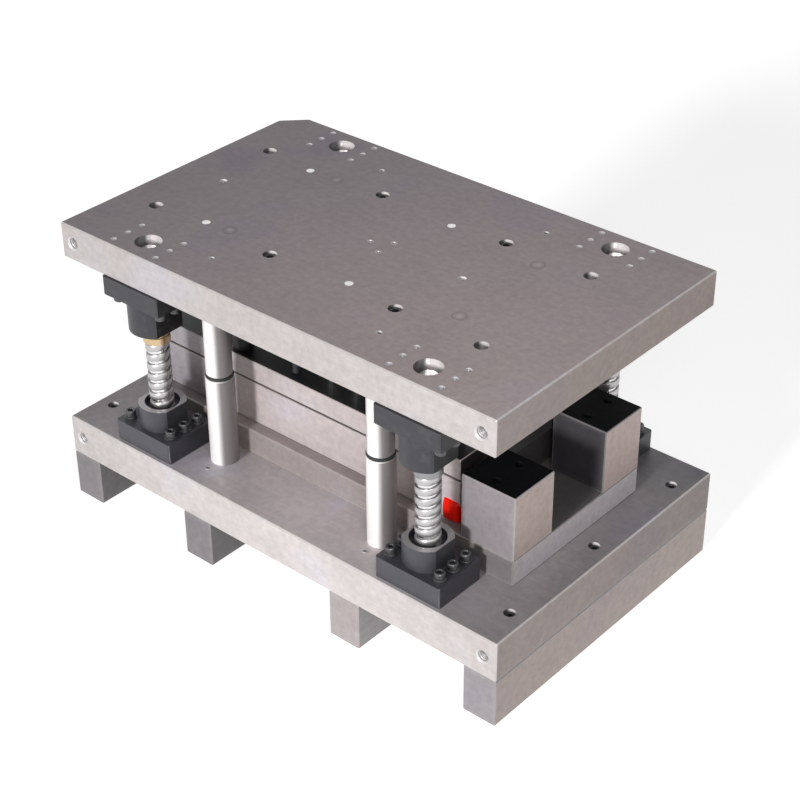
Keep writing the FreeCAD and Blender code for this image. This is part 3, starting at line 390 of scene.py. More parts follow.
# Function, inputs beside Vector with their defaults, and outputs of each effect.
EFFECTS = {
    "Grinding marks": (wire_grinding_marks, {"Stretch": ALONG_X, "Contrast": 0.35}, ("Streaks", "Height")),
    "Clouding": (wire_clouding, {"Scale": 70.0, "Contrast": 0.3}, ("Patches", "Stains")),
    "Edge wear": (wire_edge_wear, {"Size": (0.1, 0.1, 0.1), "Width": 1.9 * MM}, ("Edge", "Fringe")),
    "Plug outline": (wire_plug_outline, {"Centre": ORIGIN, "Radius": 8 * MM}, ("Ring", "Middle")),
    "Painted shade falloff": (wire_painted_shade_falloff, {"Clean Point": ORIGIN, "Start": 0.0, "Reach": 0.6}, ("Painted Shade",)),
    "Facing": (wire_facing, {}, ("Up", "Sideways", "Flank", "Front")),
    "Turning marks": (wire_turning_marks, {"Contrast": 0.2}, ("Bands", "Height")),
    "Cast skin": (wire_cast_skin, {"Scale": 900.0}, ("Dust", "Height")),
}


def make_effect(name):
    """The node group of an effect, with its sockets and its net."""
    wire, inputs, outputs = EFFECTS[name]
    tree = bpy.data.node_groups.new(name, "ShaderNodeTree")
    for label, default in ({"Vector": ORIGIN, **inputs} if inputs else {}).items():
        kind = "NodeSocketFloat" if isinstance(default, float) else "NodeSocketVector"
        socket = tree.interface.new_socket(name=label, in_out="INPUT", socket_type=kind)
        socket.default_value = default
    for label in outputs:
        tree.interface.new_socket(name=label, in_out="OUTPUT", socket_type="NodeSocketFloat")
    net = Wiring(tree)
    wire(net, net.add("NodeGroupInput").outputs, net.add("NodeGroupOutput").inputs)
    return tree


class Surface(Wiring):
    """A material that is being wired: its shader, its object coordinates and the shared effects."""

    def __init__(self, name):
        self.material = bpy.data.materials.new(name)
        self.material.use_nodes = True
        super().__init__(self.material.node_tree)
        self.shader = self.tree.nodes["Principled BSDF"]
        self.place = self.add("ShaderNodeTexCoord").outputs["Object"]

    def effect(self, name, **inputs):
        tree = bpy.data.node_groups.get(name) or make_effect(name)
        made = self.add("ShaderNodeGroup", node_tree=tree)
        if "Vector" in made.inputs:
            inputs["Vector"] = self.place
        for key, value in inputs.items():
            self.feed(made.inputs[key.replace("_", " ")], value)
        return made.outputs

    def set(self, **values):
        for key, value in values.items():
            self.feed(self.shader.inputs[key.replace("_", " ")], value)
        return self.material

    def shade(self, colour, change):
        """The colour made lighter or darker by a value round zero."""
        level = self.plus(change, 1.0)
        grey = self.add("ShaderNodeCombineColor", {"Red": level, "Green": level, "Blue": level}).outputs[0]
        return self.mix(1.0, colour, grey, "MULTIPLY")

    def bump(self, height, depth, strength):
        made = self.add("ShaderNodeBump", {"Height": height, "Distance": depth, "Strength": strength})
        self.feed(self.shader.inputs["Normal"], made.outputs["Normal"])


def scaled(tone, left, cast=(1.0, 1.0, 1.0)):
    """A tone with a share left of its brightness, and a cast of colour."""
    return [part * left * tinge for part, tinge in zip(tone, cast)]


def dimmed(tone, left):
    """A tone with a share left of its brightness, and a little bluer."""
    return scaled(tone, left, BLUER)


def warmed(tone, left):
    """A tone with a share left of its brightness, and a little warmer."""
    return scaled(tone, left, WARMER)


# How strongly the marks show in ground steel; DOT is the painted highlight round small holes.
PLUG_RING, PLUG_MIDDLE, DOT, FRINGE = 0.35, 0.20, 0.70, 0.20

# Painted shade: tones that steel takes far from a lit point, not at all up to start, wholly from reach on.
Fade = namedtuple("Fade", "tones point start reach")


def ground_steel(name, size, tones, fade=None, edges=0.15, grind=ALONG_X, rough=0.46, plugs=(), dots=()):
    """Flat ground or milled steel of a box-shaped piece of the given size.

    The tones are those of its top, its front, and its left and right faces, and they differ as painted light
    and shade. A fade darkens them away from a lit point as painted shade, and dots lay a painted highlight
    round small holes."""
    finish = bpy.context.scene.die_set_finish
    surface = Surface(name)
    edge = surface.effect("Edge wear", Size=size, Width=finish.edge_width)
    marks = surface.effect("Grinding marks", Stretch=grind, Contrast=finish.grain)
    clouds = surface.effect("Clouding", Scale=110.0, Contrast=finish.mottle)
    facing = surface.effect("Facing")
    # Painted shade: the tones darken towards the far tones away from the lit point.
    if fade:
        dimmer = surface.effect("Painted shade falloff", Clean_Point=fade.point, Start=fade.start, Reach=fade.reach)["Painted Shade"]
        tones = [surface.mix(dimmer, tone, far) for tone, far in zip(tones, fade.tones)]
    top, front, side = tones
    # Painted light and shade: top, front and side faces each take their own tone.
    colour = surface.mix(facing["Up"], surface.mix(facing["Sideways"], front, side), top)
    colour = surface.shade(colour, surface.plus(marks["Streaks"], clouds["Patches"]))
    colour = surface.mix(clouds["Stains"], colour, surface.mix(1.0, colour, STAIN, "MULTIPLY"))
    for centre in plugs:
        plug = surface.effect("Plug outline", Centre=centre)
        colour = surface.lay(colour, plug["Ring"], PLUG_RING, SOOT)
        colour = surface.lay(colour, plug["Middle"], PLUG_MIDDLE, finish.bright_edge)
    # Painted highlight: pale discs round the small holes.
    for centre in dots:
        dot = surface.effect("Plug outline", Centre=centre)
        colour = surface.lay(colour, dot["Middle"], DOT, finish.bright_edge)
    colour = surface.lay(colour, edge["Fringe"], edges * FRINGE, finish.bright_edge)
    colour = surface.lay(colour, edge["Edge"], edges, finish.bright_edge)
    rubbed = surface.plus(surface.times(edge["Edge"], -0.12), rough)
    roughness = surface.plus(rubbed, surface.times(clouds["Stains"], 0.10))
    surface.bump(marks["Height"], 0.04 * MM, 0.35)
    return surface.set(Base_Color=colour, Metallic=0.2, Roughness=roughness)


def bright_steel(
    name, tone, rough=0.20, contrast=0.22, metal=1.0, other=None, facing="Flank",
    clouding=(160.0, 0.16), stains=0.10, bump=(0.03 * MM, 0.25),
):
    """Turned and polished round steel, with another tone on one facing, by default its flanks, when it is
    given; on the stop posts' flanks that tone is painted shade, on bore walls facing the front it is painted
    light.
    """
    surface = Surface(name)
    if other:
        tone = surface.mix(surface.effect("Facing")[facing], tone, other)
    marks = surface.effect("Turning marks", Contrast=contrast)
    clouds = surface.effect("Clouding", Scale=clouding[0], Contrast=clouding[1])
    colour = surface.shade(tone, surface.plus(marks["Bands"], clouds["Patches"]))
    roughness = surface.plus(surface.times(clouds["Stains"], stains), rough)
    surface.bump(marks["Height"], *bump)
    return surface.set(Base_Color=colour, Metallic=metal, Roughness=roughness)


def machined_bore(name, tone, front=None):
    """Oily wall of a drilled hole with the tool's rings, and another tone where it faces the front, which is
    painted light.
    """
    return bright_steel(name, tone, 0.30, 0.4, 0.3, front, "Front", (200.0, 0.4), 0.15, (0.05 * MM, 0.3))


def blackened(name, tone, size=None, edges=0.5, scale=900.0, rough=0.42, metal=0.15, side=None):
    """Black-oxide steel with a grainy skin, dust, and bare metal along its edges when its size is given.

    Its left and right faces have a tone of their own when one is given, as painted shade."""
    surface = Surface(name)
    if side:
        tone = surface.mix(surface.effect("Facing")["Sideways"], tone, side)
    skin = surface.effect("Cast skin", Scale=scale)
    clouds = surface.effect("Clouding", Scale=120.0, Contrast=0.5)
    colour = surface.lay(surface.shade(tone, clouds["Patches"]), skin["Dust"], 0.22, DUST)
    if size:
        edge = surface.effect("Edge wear", Size=size, Width=1.1 * MM)
        colour = surface.lay(colour, edge["Edge"], edges, WORN_BLACK)
    roughness = surface.plus(surface.times(skin["Dust"], 0.18), rough)
    surface.bump(skin["Height"], 0.12 * MM, 0.5)
    return surface.set(Base_Color=colour, Metallic=metal, Roughness=roughness)


def elastic(name, tone, rough, scale=1400.0, gloss=0.5):
    """Moulded rubber or urethane, or the near-black painted shade of the heel block tops, with a faint grain
    and dust.
    """
    surface = Surface(name)
    skin = surface.effect("Cast skin", Scale=scale)
    clouds = surface.effect("Clouding", Scale=90.0, Contrast=0.35)
    dusty = [1.5 * part + 0.004 for part in tone]
    colour = surface.lay(surface.shade(tone, clouds["Patches"]), skin["Dust"], 0.15, dusty)
    roughness = surface.plus(surface.times(skin["Dust"], 0.15), rough)
    surface.bump(skin["Height"], 0.06 * MM, 0.4)
    return surface.set(Base_Color=colour, Roughness=roughness, Specular_IOR_Level=gloss)


# Meshes.


def hexagon(radius, index, angle):
    """Distance to a hexagon's side whose flats lie at radius."""
    half = math.pi / 6
    return radius / math.cos((angle + half) % (2 * half) - half)


def knurl(radius, index, angle):
    """Straight ribs of a screw head."""
    groove = 0.00022
    return radius - (groove if index % 2 else 0.0)


def around(axis, reach, angle, level):
    """A point round an upright axis."""
    return axis[0] + reach * math.cos(angle), axis[1] + reach * math.sin(angle), level


def revolve(mesh, at, rows, count, up=1, closed=False):
    """Turn rows of (radius, height, shape) round the upright axis through at; a radius of 0 closes an end."""
    rings = []
    for radius, height, *shape in rows:
        level = at[2] + up * height
        if radius == 0:
            rings.append([mesh.verts.new((at[0], at[1], level))])
            continue
        ring = []
        for i in range(count):
            angle = math.tau * i / count
            reach = shape[0](radius, i, angle) if shape else radius
            ring.append(mesh.verts.new(around(at, reach, angle, level)))
        rings.append(ring)
    pairs = list(zip(rings, rings[1:]))
    if closed:
        pairs.append((rings[-1], rings[0]))
    for lower, upper in pairs:
        for i in range(count):
            corners = [lower[i % len(lower)], lower[(i + 1) % len(lower)]]
            corners += [upper[(i + 1) % len(upper)], upper[i % len(upper)]]
            mesh.faces.new(list(dict.fromkeys(corners)))


def add_object(name, data):
    """A new object of the scene."""
    made = bpy.data.objects.new(name, data)
    bpy.context.scene.collection.objects.link(made)
    return made


def mesh_data(name, mesh):
    """The finished bmesh as a mesh of its own."""
    data = bpy.data.meshes.new(name)
    mesh.to_mesh(data)
    mesh.free()
    return data


def piece(name, mesh, material, body=None, replaces=(), sharp=35):
    """Turn the finished bmesh into a piece of the set."""
    bmesh.ops.recalc_face_normals(mesh, faces=mesh.faces)
    data = mesh_data(name, mesh)
    data.shade_smooth()
    data.set_sharp_from_angle(angle=math.radians(sharp))
    data.materials.append(material)
    made = add_object(name, data)
    if body:
        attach(made, body)
    if replaces:
        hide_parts(*replaces)
    return made


def paint(data, choose):
    """Give each face the material index that is chosen for it."""
    for face in data.polygons:
        face.material_index = choose(face)


def dress(name, *materials):
    """Give a solid of the frame its finish; the faces' indices pick between several."""
    data = NODES[name].data
    data.materials.clear()
    for material in materials:
        data.materials.append(material)
    return data


def cap_screw(mesh, at, dia, head, high, shank, up=1, washer=0.0, collar=0.0, count=24, ribs=False):
    """A socket head screw whose head sits at the point at, with its socket on the head's far side."""
    half, rim, edge, side = dia / 2, head / 2, washer / 2, (knurl,) if ribs else ()
    socket, tip, soft = dia * 0.375, 0.6 * MM, 0.4 * MM
    rows = [(0, -shank), (half - tip, -shank), (half, tip - shank), (half, -collar)]
    if washer:
        rows += [(edge - 0.2 * MM, -collar), (edge, 0.3 * MM - collar), (edge, -soft), (edge - soft, 0)]
    rows += [(rim - soft, 0), (rim, soft, *side), (rim, high - 1.4 * MM, *side)]
    rows += [(rim - 0.1 * MM, high - 1.0 * MM), (rim - 0.9 * MM, high), (socket * 1.22, high)]
    rows += [(socket, high - 0.5 * MM, hexagon), (socket, high * 0.45, hexagon), (0, high * 0.36)]
    revolve(mesh, at, rows, count, up)


def set_screw(mesh, at, dia, shank, count=24):
    """A headless screw with a hexagon socket in its end, which lies at the point at."""
    half, socket, soft = dia / 2, dia * 0.27, 0.6 * MM
    rows = [(0, -shank), (half - 0.5 * MM, -shank), (half, soft - shank), (half, -soft), (half - soft, 0)]
    rows += [(socket * 1.25, 0), (socket, -0.3 * MM, hexagon), (socket, -3.0 * MM, hexagon), (0, -3.6 * MM)]
    revolve(mesh, at, rows, count)


def sweep(mesh, sections):
    """Skin over a row of sections with as many points each, with a face at both ends."""
    rings = [[mesh.verts.new(point) for point in section] for section in sections]
    for lower, upper in zip(rings, rings[1:]):
        for i in range(len(lower)):
            j = (i + 1) % len(lower)
            mesh.faces.new((lower[i], lower[j], upper[j], upper[i]))
    mesh.faces.new(rings[0])
    mesh.faces.new(rings[-1][::-1])


def thread(mesh, at, inward, radius, depth, pitch, turns=10, count=24):
    """Ridge of an internal thread that runs into a level hole from the point at, and fades at both ends."""
    across = inward.cross(UP).normalized()
    lift = across.cross(inward)
    steps = count * turns

    def section(step):
        angle = math.tau * step / count
        out = across * math.cos(angle) + lift * math.sin(angle)
        along = pitch * step / count
        fade = min(1.0, step / 8, (steps - step) / 8) * 0.98 + 0.02
        foot = pitch * 0.45 * fade
        spots = [(radius, along - foot), (radius - depth * fade, along), (radius, along + foot)]
        return [at + out * reach + inward * deep for reach, deep in spots]

    sweep(mesh, map(section, range(steps + 1)))


def near_bright_hole(point):
    """Whether a point lies in one of the small bright holes of the top face."""
    reach = 5.5 * MM
    return any((point.xy - Vector(spot[:2])).length < reach for spot in BRIGHT_HOLES)


def flange_places():
    """Axis of each screw in the four flanges of one level."""
    for name in four("guide_post"):
        centre = middle(name)
        for side in SIDES:
            for row in ROWS:
                yield centre.x + side * 0.035, centre.y + row * 0.022


# Operators, one for each piece or group of like pieces.


class DIESET_OT_stage(bpy.types.Operator):
    """Make the floor, the lamps, the background and the camera"""

    bl_idname = "dieset.stage"
    bl_label = "Stage"

    def execute(self, context):
        scene, stage = context.scene, context.scene.die_set_stage
        scene.view_settings.view_transform = "Standard"
        self.make_world(scene, stage)
        self.make_floor(stage)
        key = self.make_lamp("key_light", "SUN", KEY_PLACE, stage.key_strength)
        key.angle = KEY_ANGLE
        fill = self.make_lamp("fill_light", "AREA", FILL_PLACE, stage.fill_power)
        fill.shape, fill.size = "SQUARE", FILL_SIZE
        self.make_camera(scene)
        return {"FINISHED"}

    def seen(self, net):
        """1 where the camera, a reflection or a refraction looks."""
        path = net.add("ShaderNodeLightPath").outputs
        either = net.math("MAXIMUM", path["Is Camera Ray"], path["Is Glossy Ray"])
        return net.math("MAXIMUM", either, path["Is Transmission Ray"])

    def make_world(self, scene, stage):
        scene.world = bpy.data.worlds.new("surroundings")
        scene.world.use_nodes = True
        net = Wiring(scene.world.node_tree)
        background = scene.world.node_tree.nodes["Background"].inputs
        background["Color"].default_value = (1.0, 1.0, 1.0, 1.0)
        net.feed(background["Strength"], net.between(self.seen(net), stage.ambient, 1.0))

    def make_floor(self, stage):
        mesh = bmesh.new()
        bmesh.ops.create_grid(mesh, x_segments=8, y_segments=8, size=stage.floor_size / 2)
        floor = add_object("floor", mesh_data("floor", mesh))
        floor.location.z = -0.2 * MM
        surface = Surface("pale_floor")
        dust = surface.effect("Clouding", Scale=3.0, Contrast=0.02)
        colour = surface.shade(stage.floor_tint, dust["Patches"])
        surface.set(Base_Color=colour, Roughness=0.9, Specular_IOR_Level=0.0)
        strength = surface.times(self.seen(surface), stage.floor_glow)
        glow = surface.add("ShaderNodeEmission", {"Color": (1.0, 1.0, 1.0), "Strength": strength})
        both = surface.add("ShaderNodeAddShader")
        surface.tree.links.new(surface.shader.outputs[0], both.inputs[0])
        surface.tree.links.new(glow.outputs[0], both.inputs[1])
        surface.tree.links.new(both.outputs[0], surface.tree.nodes["Material Output"].inputs["Surface"])
        floor.data.materials.append(surface.material)

    def make_lamp(self, name, kind, place, power):
        data = bpy.data.lights.new(name, kind)
        data.energy = power
        lamp = add_object(name, data)
        lamp.location = place
        lamp.rotation_euler = (LAMP_AIM - lamp.location).to_track_quat("-Z", "Y").to_euler()
        return data

    def make_camera(self, scene):
        data = bpy.data.cameras.new("camera")
        data.sensor_width, data.lens = SENSOR_WIDTH, FOCAL_LENGTH
        data.clip_start, data.clip_end = 0.05, 60.0
        scene.camera = add_object("camera", data)
        scene.camera.matrix_world = CAMERA


class DIESET_OT_shoes(bpy.types.Operator):
    """Finish the two shoes, with bores in painted shade that are painted lighter where they face the front,
    bright countersinks, and the four parallels
    """

    bl_idname = "dieset.shoes"
    bl_label = "Shoes and parallels"

    def execute(self, context):
        finish = context.scene.die_set_finish
        # Painted light and shade in the holes: darkened bore walls, lit where they face the front, and
        # near-white small holes as a painted highlight.
        bore = machined_bore("bore_wall", dimmed(finish.bore, 0.45), finish.bore_front)
        cut = bright_steel("countersink", finish.countersink, 0.38, metal=0.3)
        small = machined_bore("small_bore_wall", finish.small_bore, finish.small_front)
        # Painted light and shade: each face direction has its own tone, and the tones darken away from the
        # front right corner.
        side, flank = finish.shoe_side, warmed(finish.shoe_side, 0.64)
        near = (finish.upper_top, side, flank)
        far = (dimmed(finish.upper_top, 0.48), scaled(side, 0.84), warmed(flank, 0.70))
        plate = ground_steel(
            "upper_shoe_steel", size_of("upper_shoe"), near, Fade(far, (0.325, -0.2, 0.39), 0.0, 0.65),
            edges=0.10, plugs=PLUGS, dots=STOP_SCREWS + SHANK_HOLES,
        )
        self.paint_holes("upper_shoe", dress("upper_shoe", plate, bore, cut, small))
        # Painted light and shade: brighter fronts, darker flanks, and tones that darken strongly away from
        # the front middle.
        near = (finish.lower_top, scaled(side, 1.10), warmed(side, 0.82))
        far = (dimmed(finish.lower_top, 0.17), scaled(side, 0.85), warmed(side, 0.44))
        fade = Fade(far, (0.04, -0.2, 0.116), 0.0, 0.50)
        plate = ground_steel("lower_shoe_steel", size_of("lower_shoe"), near, fade, edges=0.18)
        self.paint_holes("lower_shoe", dress("lower_shoe", plate, bore, cut))
        self.finish_parallels(finish.parallel_end, finish.parallel_side)
        return {"FINISHED"}

    def finish_parallels(self, end, flank):
        """The bar at the right end has its own tones; the other three darken to the left as painted shade.
        Their face directions take painted light and shade tones.
        """
        size = size_of("parallel_far_left")
        near, far = (flank, end, dimmed(flank, 0.60)), (flank, dimmed(end, 0.54), dimmed(flank, 0.27))
        fade = Fade(far, (0.16, -0.2, 0.03), 0.08, 0.23)
        bar = ground_steel("parallel_steel", size, near, fade, edges=0.12, grind=ALONG_Y)
        for name in ("parallel_far_left", "parallel_mid_left", "parallel_mid_right"):
            dress(name, bar)
        tones = (flank, dimmed(end, 0.80), warmed(flank, 0.66))
        dress("parallel_far_right", ground_steel("end_parallel_steel", size, tones, edges=0.12))

    def paint_holes(self, name, data):
        """Faces well inside the plate's box are hole walls; lifting holes and their cones are cut bright."""
        low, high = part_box(name)
        level = (low.z + high.z) / 2
        plain, wall, cut, small = range(4)
        wall_depth, hole_radius, hole_depth, cone_depth = 2.5 * MM, 9 * MM, 36 * MM, 2.5 * MM
        hole_ends = ((10 * MM, 28 * MM), (38 * MM, 56 * MM))

        def choose(face):
            centre, normal = face.center, face.normal
            end, front = high.x - abs(centre.x), high.y - abs(centre.y)
            if depth_in((low, high), centre) > wall_depth:
                if name == "upper_shoe" and near_bright_hole(centre):
                    return small
                lifting = abs(normal.y) < 0.5 and abs(centre.z - level) < hole_radius and front < hole_depth
                return cut if lifting and any(near < end < far for near, far in hole_ends) else wall
            sloped = abs(normal.y) > 0.3 and 0.2 < math.hypot(normal.x, normal.z) < 0.95
            edge = min(centre.z - low.z, high.z - centre.z) < 4 * MM or end < 3 * MM
            return cut if sloped and abs(front) < cone_depth and not edge else plain

        paint(data, choose)


class DIESET_OT_die_steels(bpy.types.Operator):
    """Finish the die, punch and stripper plates, the heel blocks, inserts and punches"""

    bl_idname = "dieset.die_steels"
    bl_label = "Die steels"

    def execute(self, context):
        finish = context.scene.die_set_finish
        bore = machined_bore("die_bore_wall", finish.bore)
        dark = finish.dark_steel
        base, flank, die, heel = finish.base_plate, finish.heel_flank, finish.die_side, finish.heel_side
        # Painted shade: the die block's and stripper's end faces are near black near the right end, their
        # fronts darken towards the left end, and the stripper top and the punch plates take the near-black
        # painted shade.
        shaded = dimmed(die, 0.62)
        right_end = (0.15, -0.102, 0.19)
        looks = {
            "die_block": ((base, die, dimmed(die, 0.12)), (base, shaded, shaded), 0.08),
            "stripper_plate": ((dark, die, dimmed(die, 0.06)), (dark, shaded, shaded), 0.08),
            "punch_backing_plate": ((dark, dark, dark), None, 0.1),
            "punch_holder": ((dark, dark, dark), None, 0.1),
        }
        for name, (tones, far, edges) in looks.items():
            fade = Fade(far, right_end, 0.29, 0.35) if far else None
            data = dress(name, ground_steel(name + "_steel", size_of(name), tones, fade, edges), bore)
            if name != "stripper_plate":
                self.paint_bores(name, data)
        # Painted shade and light: the base plate darkens away from its front middle, and its flanks there
        # turn lighter.
        far = (dimmed(base, 0.52), dimmed(base, 0.60), dimmed(flank, 1.14))
        fade, size = Fade(far, (0.0, -0.118, 0.15), 0.15, 0.28), size_of("die_base_plate")
        plate = ground_steel("die_base_plate_steel", size, (base, base, flank), fade, 0.12)
        self.paint_bores("die_base_plate", dress("die_base_plate", plate, bore))
        self.finish_heel_blocks(dark, dimmed(heel, 0.90), warmed(flank, 0.87))
        for name in ("die_insert_left", "die_insert_right", "punches"):
            bare = [finish.bright_edge] * 3
            dress(name, ground_steel(name + "_steel", size_of(name), bare, edges=0.5, rough=0.25))
        return {"FINISHED"}

    def finish_heel_blocks(self, dark, heel, flank):
        # Painted shade: near-black tops and bores, darker fronts, and the far block's front darkened as the
        # near block's shadow.
        fade = Fade((dark, dimmed(heel, 0.18), flank), (0.2545, -0.118, 0.19), 0.04, 0.17)
        size = size_of(HEEL_BLOCKS[0])
        block = ground_steel("heel_block_steel", size, (dark, heel, flank), fade, 0.16, UPRIGHT)
        oily = machined_bore("heel_bore_wall", dark)
        top = elastic("heel_top_painted_shade", dimmed(dark, 0.25), 0.6, 900.0, 0.08)
        for name in HEEL_BLOCKS:
            data, level = dress(name, block, oily, top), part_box(name)[1].z - 1 * MM
            self.paint_bores(name, data)
            for face in data.polygons:
                if face.normal.z > 0.99 and face.center.z > level:
                    face.material_index = 2

    def paint_bores(self, name, data):
        """Upright faces well inside the block's box are hole walls."""
        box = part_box(name)
        paint(data, lambda face: int(depth_in(box, face.center) > 3 * MM and abs(face.normal.z) < 0.99))


class DIESET_OT_guide_units(bpy.types.Operator):
    """Finish the guide posts, bushings, stop posts, pins and dowels, and the black flanges"""

    bl_idname = "dieset.guide_units"
    bl_label = "Guide units"

    def execute(self, context):
        finish = context.scene.die_set_finish
        polished = bright_steel("polished_steel", finish.chrome, 0.16, 0.12)
        # Painted highlight and shade: the stop posts are near white where they face front or back, dark on
        # their flanks.
        turned = bright_steel("turned_steel", finish.stop_post, 0.40, 0.14, 0.15, finish.stop_flank)
        for name in [*four("guide_post"), "guide_bushings", "stripper_guide_pins", "pilot_punches"]:
            dress(name, polished)
        for name in ("punch_plate_dowels", "die_dowels"):
            dress(name, bright_steel(name + "_steel", finish.dowel, 0.35, 0.10, 0.6))
        for name in four("lower_stop") + four("upper_stop"):
            dress(name, turned)
        rim = bright_steel("machined_rim", finish.machined_rim, 0.35, 0.15, 0.4)
        # Painted light and shade: the fronts of the black units take a lit tone, their left and right faces a
        # shaded one.
        units = (("post_base", 0.5, 1.12, 0.9), ("bushing_housing", 0.05, 0.75, 0.10))
        for stem, edges, lit, shaded in units:
            front, side = dimmed(finish.black_oxide, lit), dimmed(finish.black_oxide, shaded)
            black = blackened(stem + "_black", front, size_of(stem + "_rear_right"), edges, side=side)
            for name in four(stem):
                data = dress(name, black, rim)
                if stem == "post_base":
                    self.paint_rim(name, data)
        return {"FINISHED"}

    def paint_rim(self, name, data):
        """The topmost level faces of a post base, round its recess, are machined bare."""
        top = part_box(name)[1].z
        paint(data, lambda face: int(face.normal.z > 0.5 and face.center.z > top - 1.2 * MM))


class DIESET_OT_post_springs(bpy.types.Operator):
    """Wind the flat-wire springs that lift the ball cages"""

    bl_idname = "dieset.post_springs"
    bl_label = "Post springs"

    def execute(self, context):
        sizes, finish = context.scene.die_set_sizes, context.scene.die_set_finish
        wire = bright_steel("spring_wire", finish.spring_wire, 0.34, 0.10, 0.90)
        for corner in CORNERS:
            node = f"post_spring_{corner}"
            low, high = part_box(node)
            mesh = bmesh.new()
            self.wind(mesh, low, high, sizes)
            label = f"flat_wire_spring_{corner}"
            spring = piece(label, mesh, wire, replaces=[node], sharp=50)
            centre = (low + high) / 2
            foot, head = (centre.x, centre.y, low.z), (centre.x, centre.y, high.z)
            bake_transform(spring)
            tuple(foot)
            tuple(head)
        return {"FINISHED"}

    def wind(self, mesh, low, high, sizes, count=40):
        """Sweep the wire's section up the helix, with both ends cut level as if they were ground."""
        centre, outer = (low + high) / 2, (high.x - low.x) / 2
        inner, half, soft, overlap = outer - sizes.wire_thick, sizes.wire_wide / 2, 0.45 * MM, 0.6 * MM
        start, end = low.z - half + overlap, high.z + half - overlap
        steps = round((end - start) / sizes.wire_pitch * count)
        section = [(inner, -half + soft), (inner + soft, -half), (outer - soft, -half)]
        section += [(outer - 0.15 * MM, soft - half), (outer, 0.0)]
        section += [(reach, -rise) for reach, rise in reversed(section[:-1])]

        def turned(step):
            level = start + (end - start) * step / steps
            angle = math.tau * step / count
            bottom, top = max(level - half, low.z), min(level + half, high.z)
            for reach, rise in section:
                height = bottom + (rise + half) / (2 * half) * (top - bottom)
                yield around(centre, reach, angle, height)

        sweep(mesh, map(turned, range(steps + 1)))


class DIESET_OT_ball_cages(bpy.types.Operator):
    """Make the ball cages, three of them brass and the front right one a darker grey steel as painted shade,
    and their balls
    """

    bl_idname = "dieset.ball_cages"
    bl_label = "Ball cages"

    def execute(self, context):
        sizes, finish = context.scene.die_set_sizes, context.scene.die_set_finish
        brass = bright_steel("cage_brass", finish.brass, 0.30, 0.25)
        # Painted shade: the front right sleeve takes a darker grey steel in place of brass.
        plain = bright_steel("cage_painted_shade", finish.plain_cage, 0.34, 0.10, 0.90)
        steel = bright_steel("ball_steel", finish.chrome, 0.12, 0.05)
        low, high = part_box("ball_cages")
        tall, edge = high.z - low.z, 0.4 * MM
        foot = ((13.1, 0.0), (16.1, 0.0), (16.5, 0.4), (16.5, 8.6), (16.1, 9.0), (15.1, 9.2))
        rows = [(reach * MM, level * MM) for reach, level in foot]
        rows += [(15.1 * MM, tall - edge), (14.8 * MM, tall), (13.1 * MM, tall)]
        rows += [(12.9 * MM, tall - edge), (12.9 * MM, edge)]
        sleeves, balls = bmesh.new(), bmesh.new()
        for name in four("guide_post"):
            centre = middle(name)
            at = (centre.x, centre.y, low.z)
            revolve(sleeves, at, rows, 48, closed=True)
            self.fill(balls, at, tall, sizes)
        made = piece("ball_cage_sleeves", sleeves, brass, "cages", ["ball_cages"])
        made.data.materials.append(plain)
        paint(made.data, lambda face: int(face.center.x > 0 and face.center.y < 0))
        piece("ball_cage_balls", balls, steel, "cages", sharp=80)
        return {"FINISHED"}

    def fill(self, mesh, at, tall, sizes):
        """Staggered rows of balls through one sleeve."""
        reach, first, bare = 14.0 * MM, 14 * MM, 16 * MM
        radius = sizes.ball / 2
        tilts = [math.pi * (i / 6 - 0.5) for i in range(1, 6)]
        ball = [(radius * math.cos(tilt), radius * math.sin(tilt)) for tilt in tilts]
        ball = [(0, -radius), *ball, (0, radius)]
        for row in range(int((tall - bare) / sizes.ball_row)):
            level = at[2] + first + row * sizes.ball_row
            for i in range(sizes.balls_round):
                angle = math.tau * (i + 0.5 * (row % 2)) / sizes.balls_round
                revolve(mesh, around(at, reach, angle, level), ball, 8)


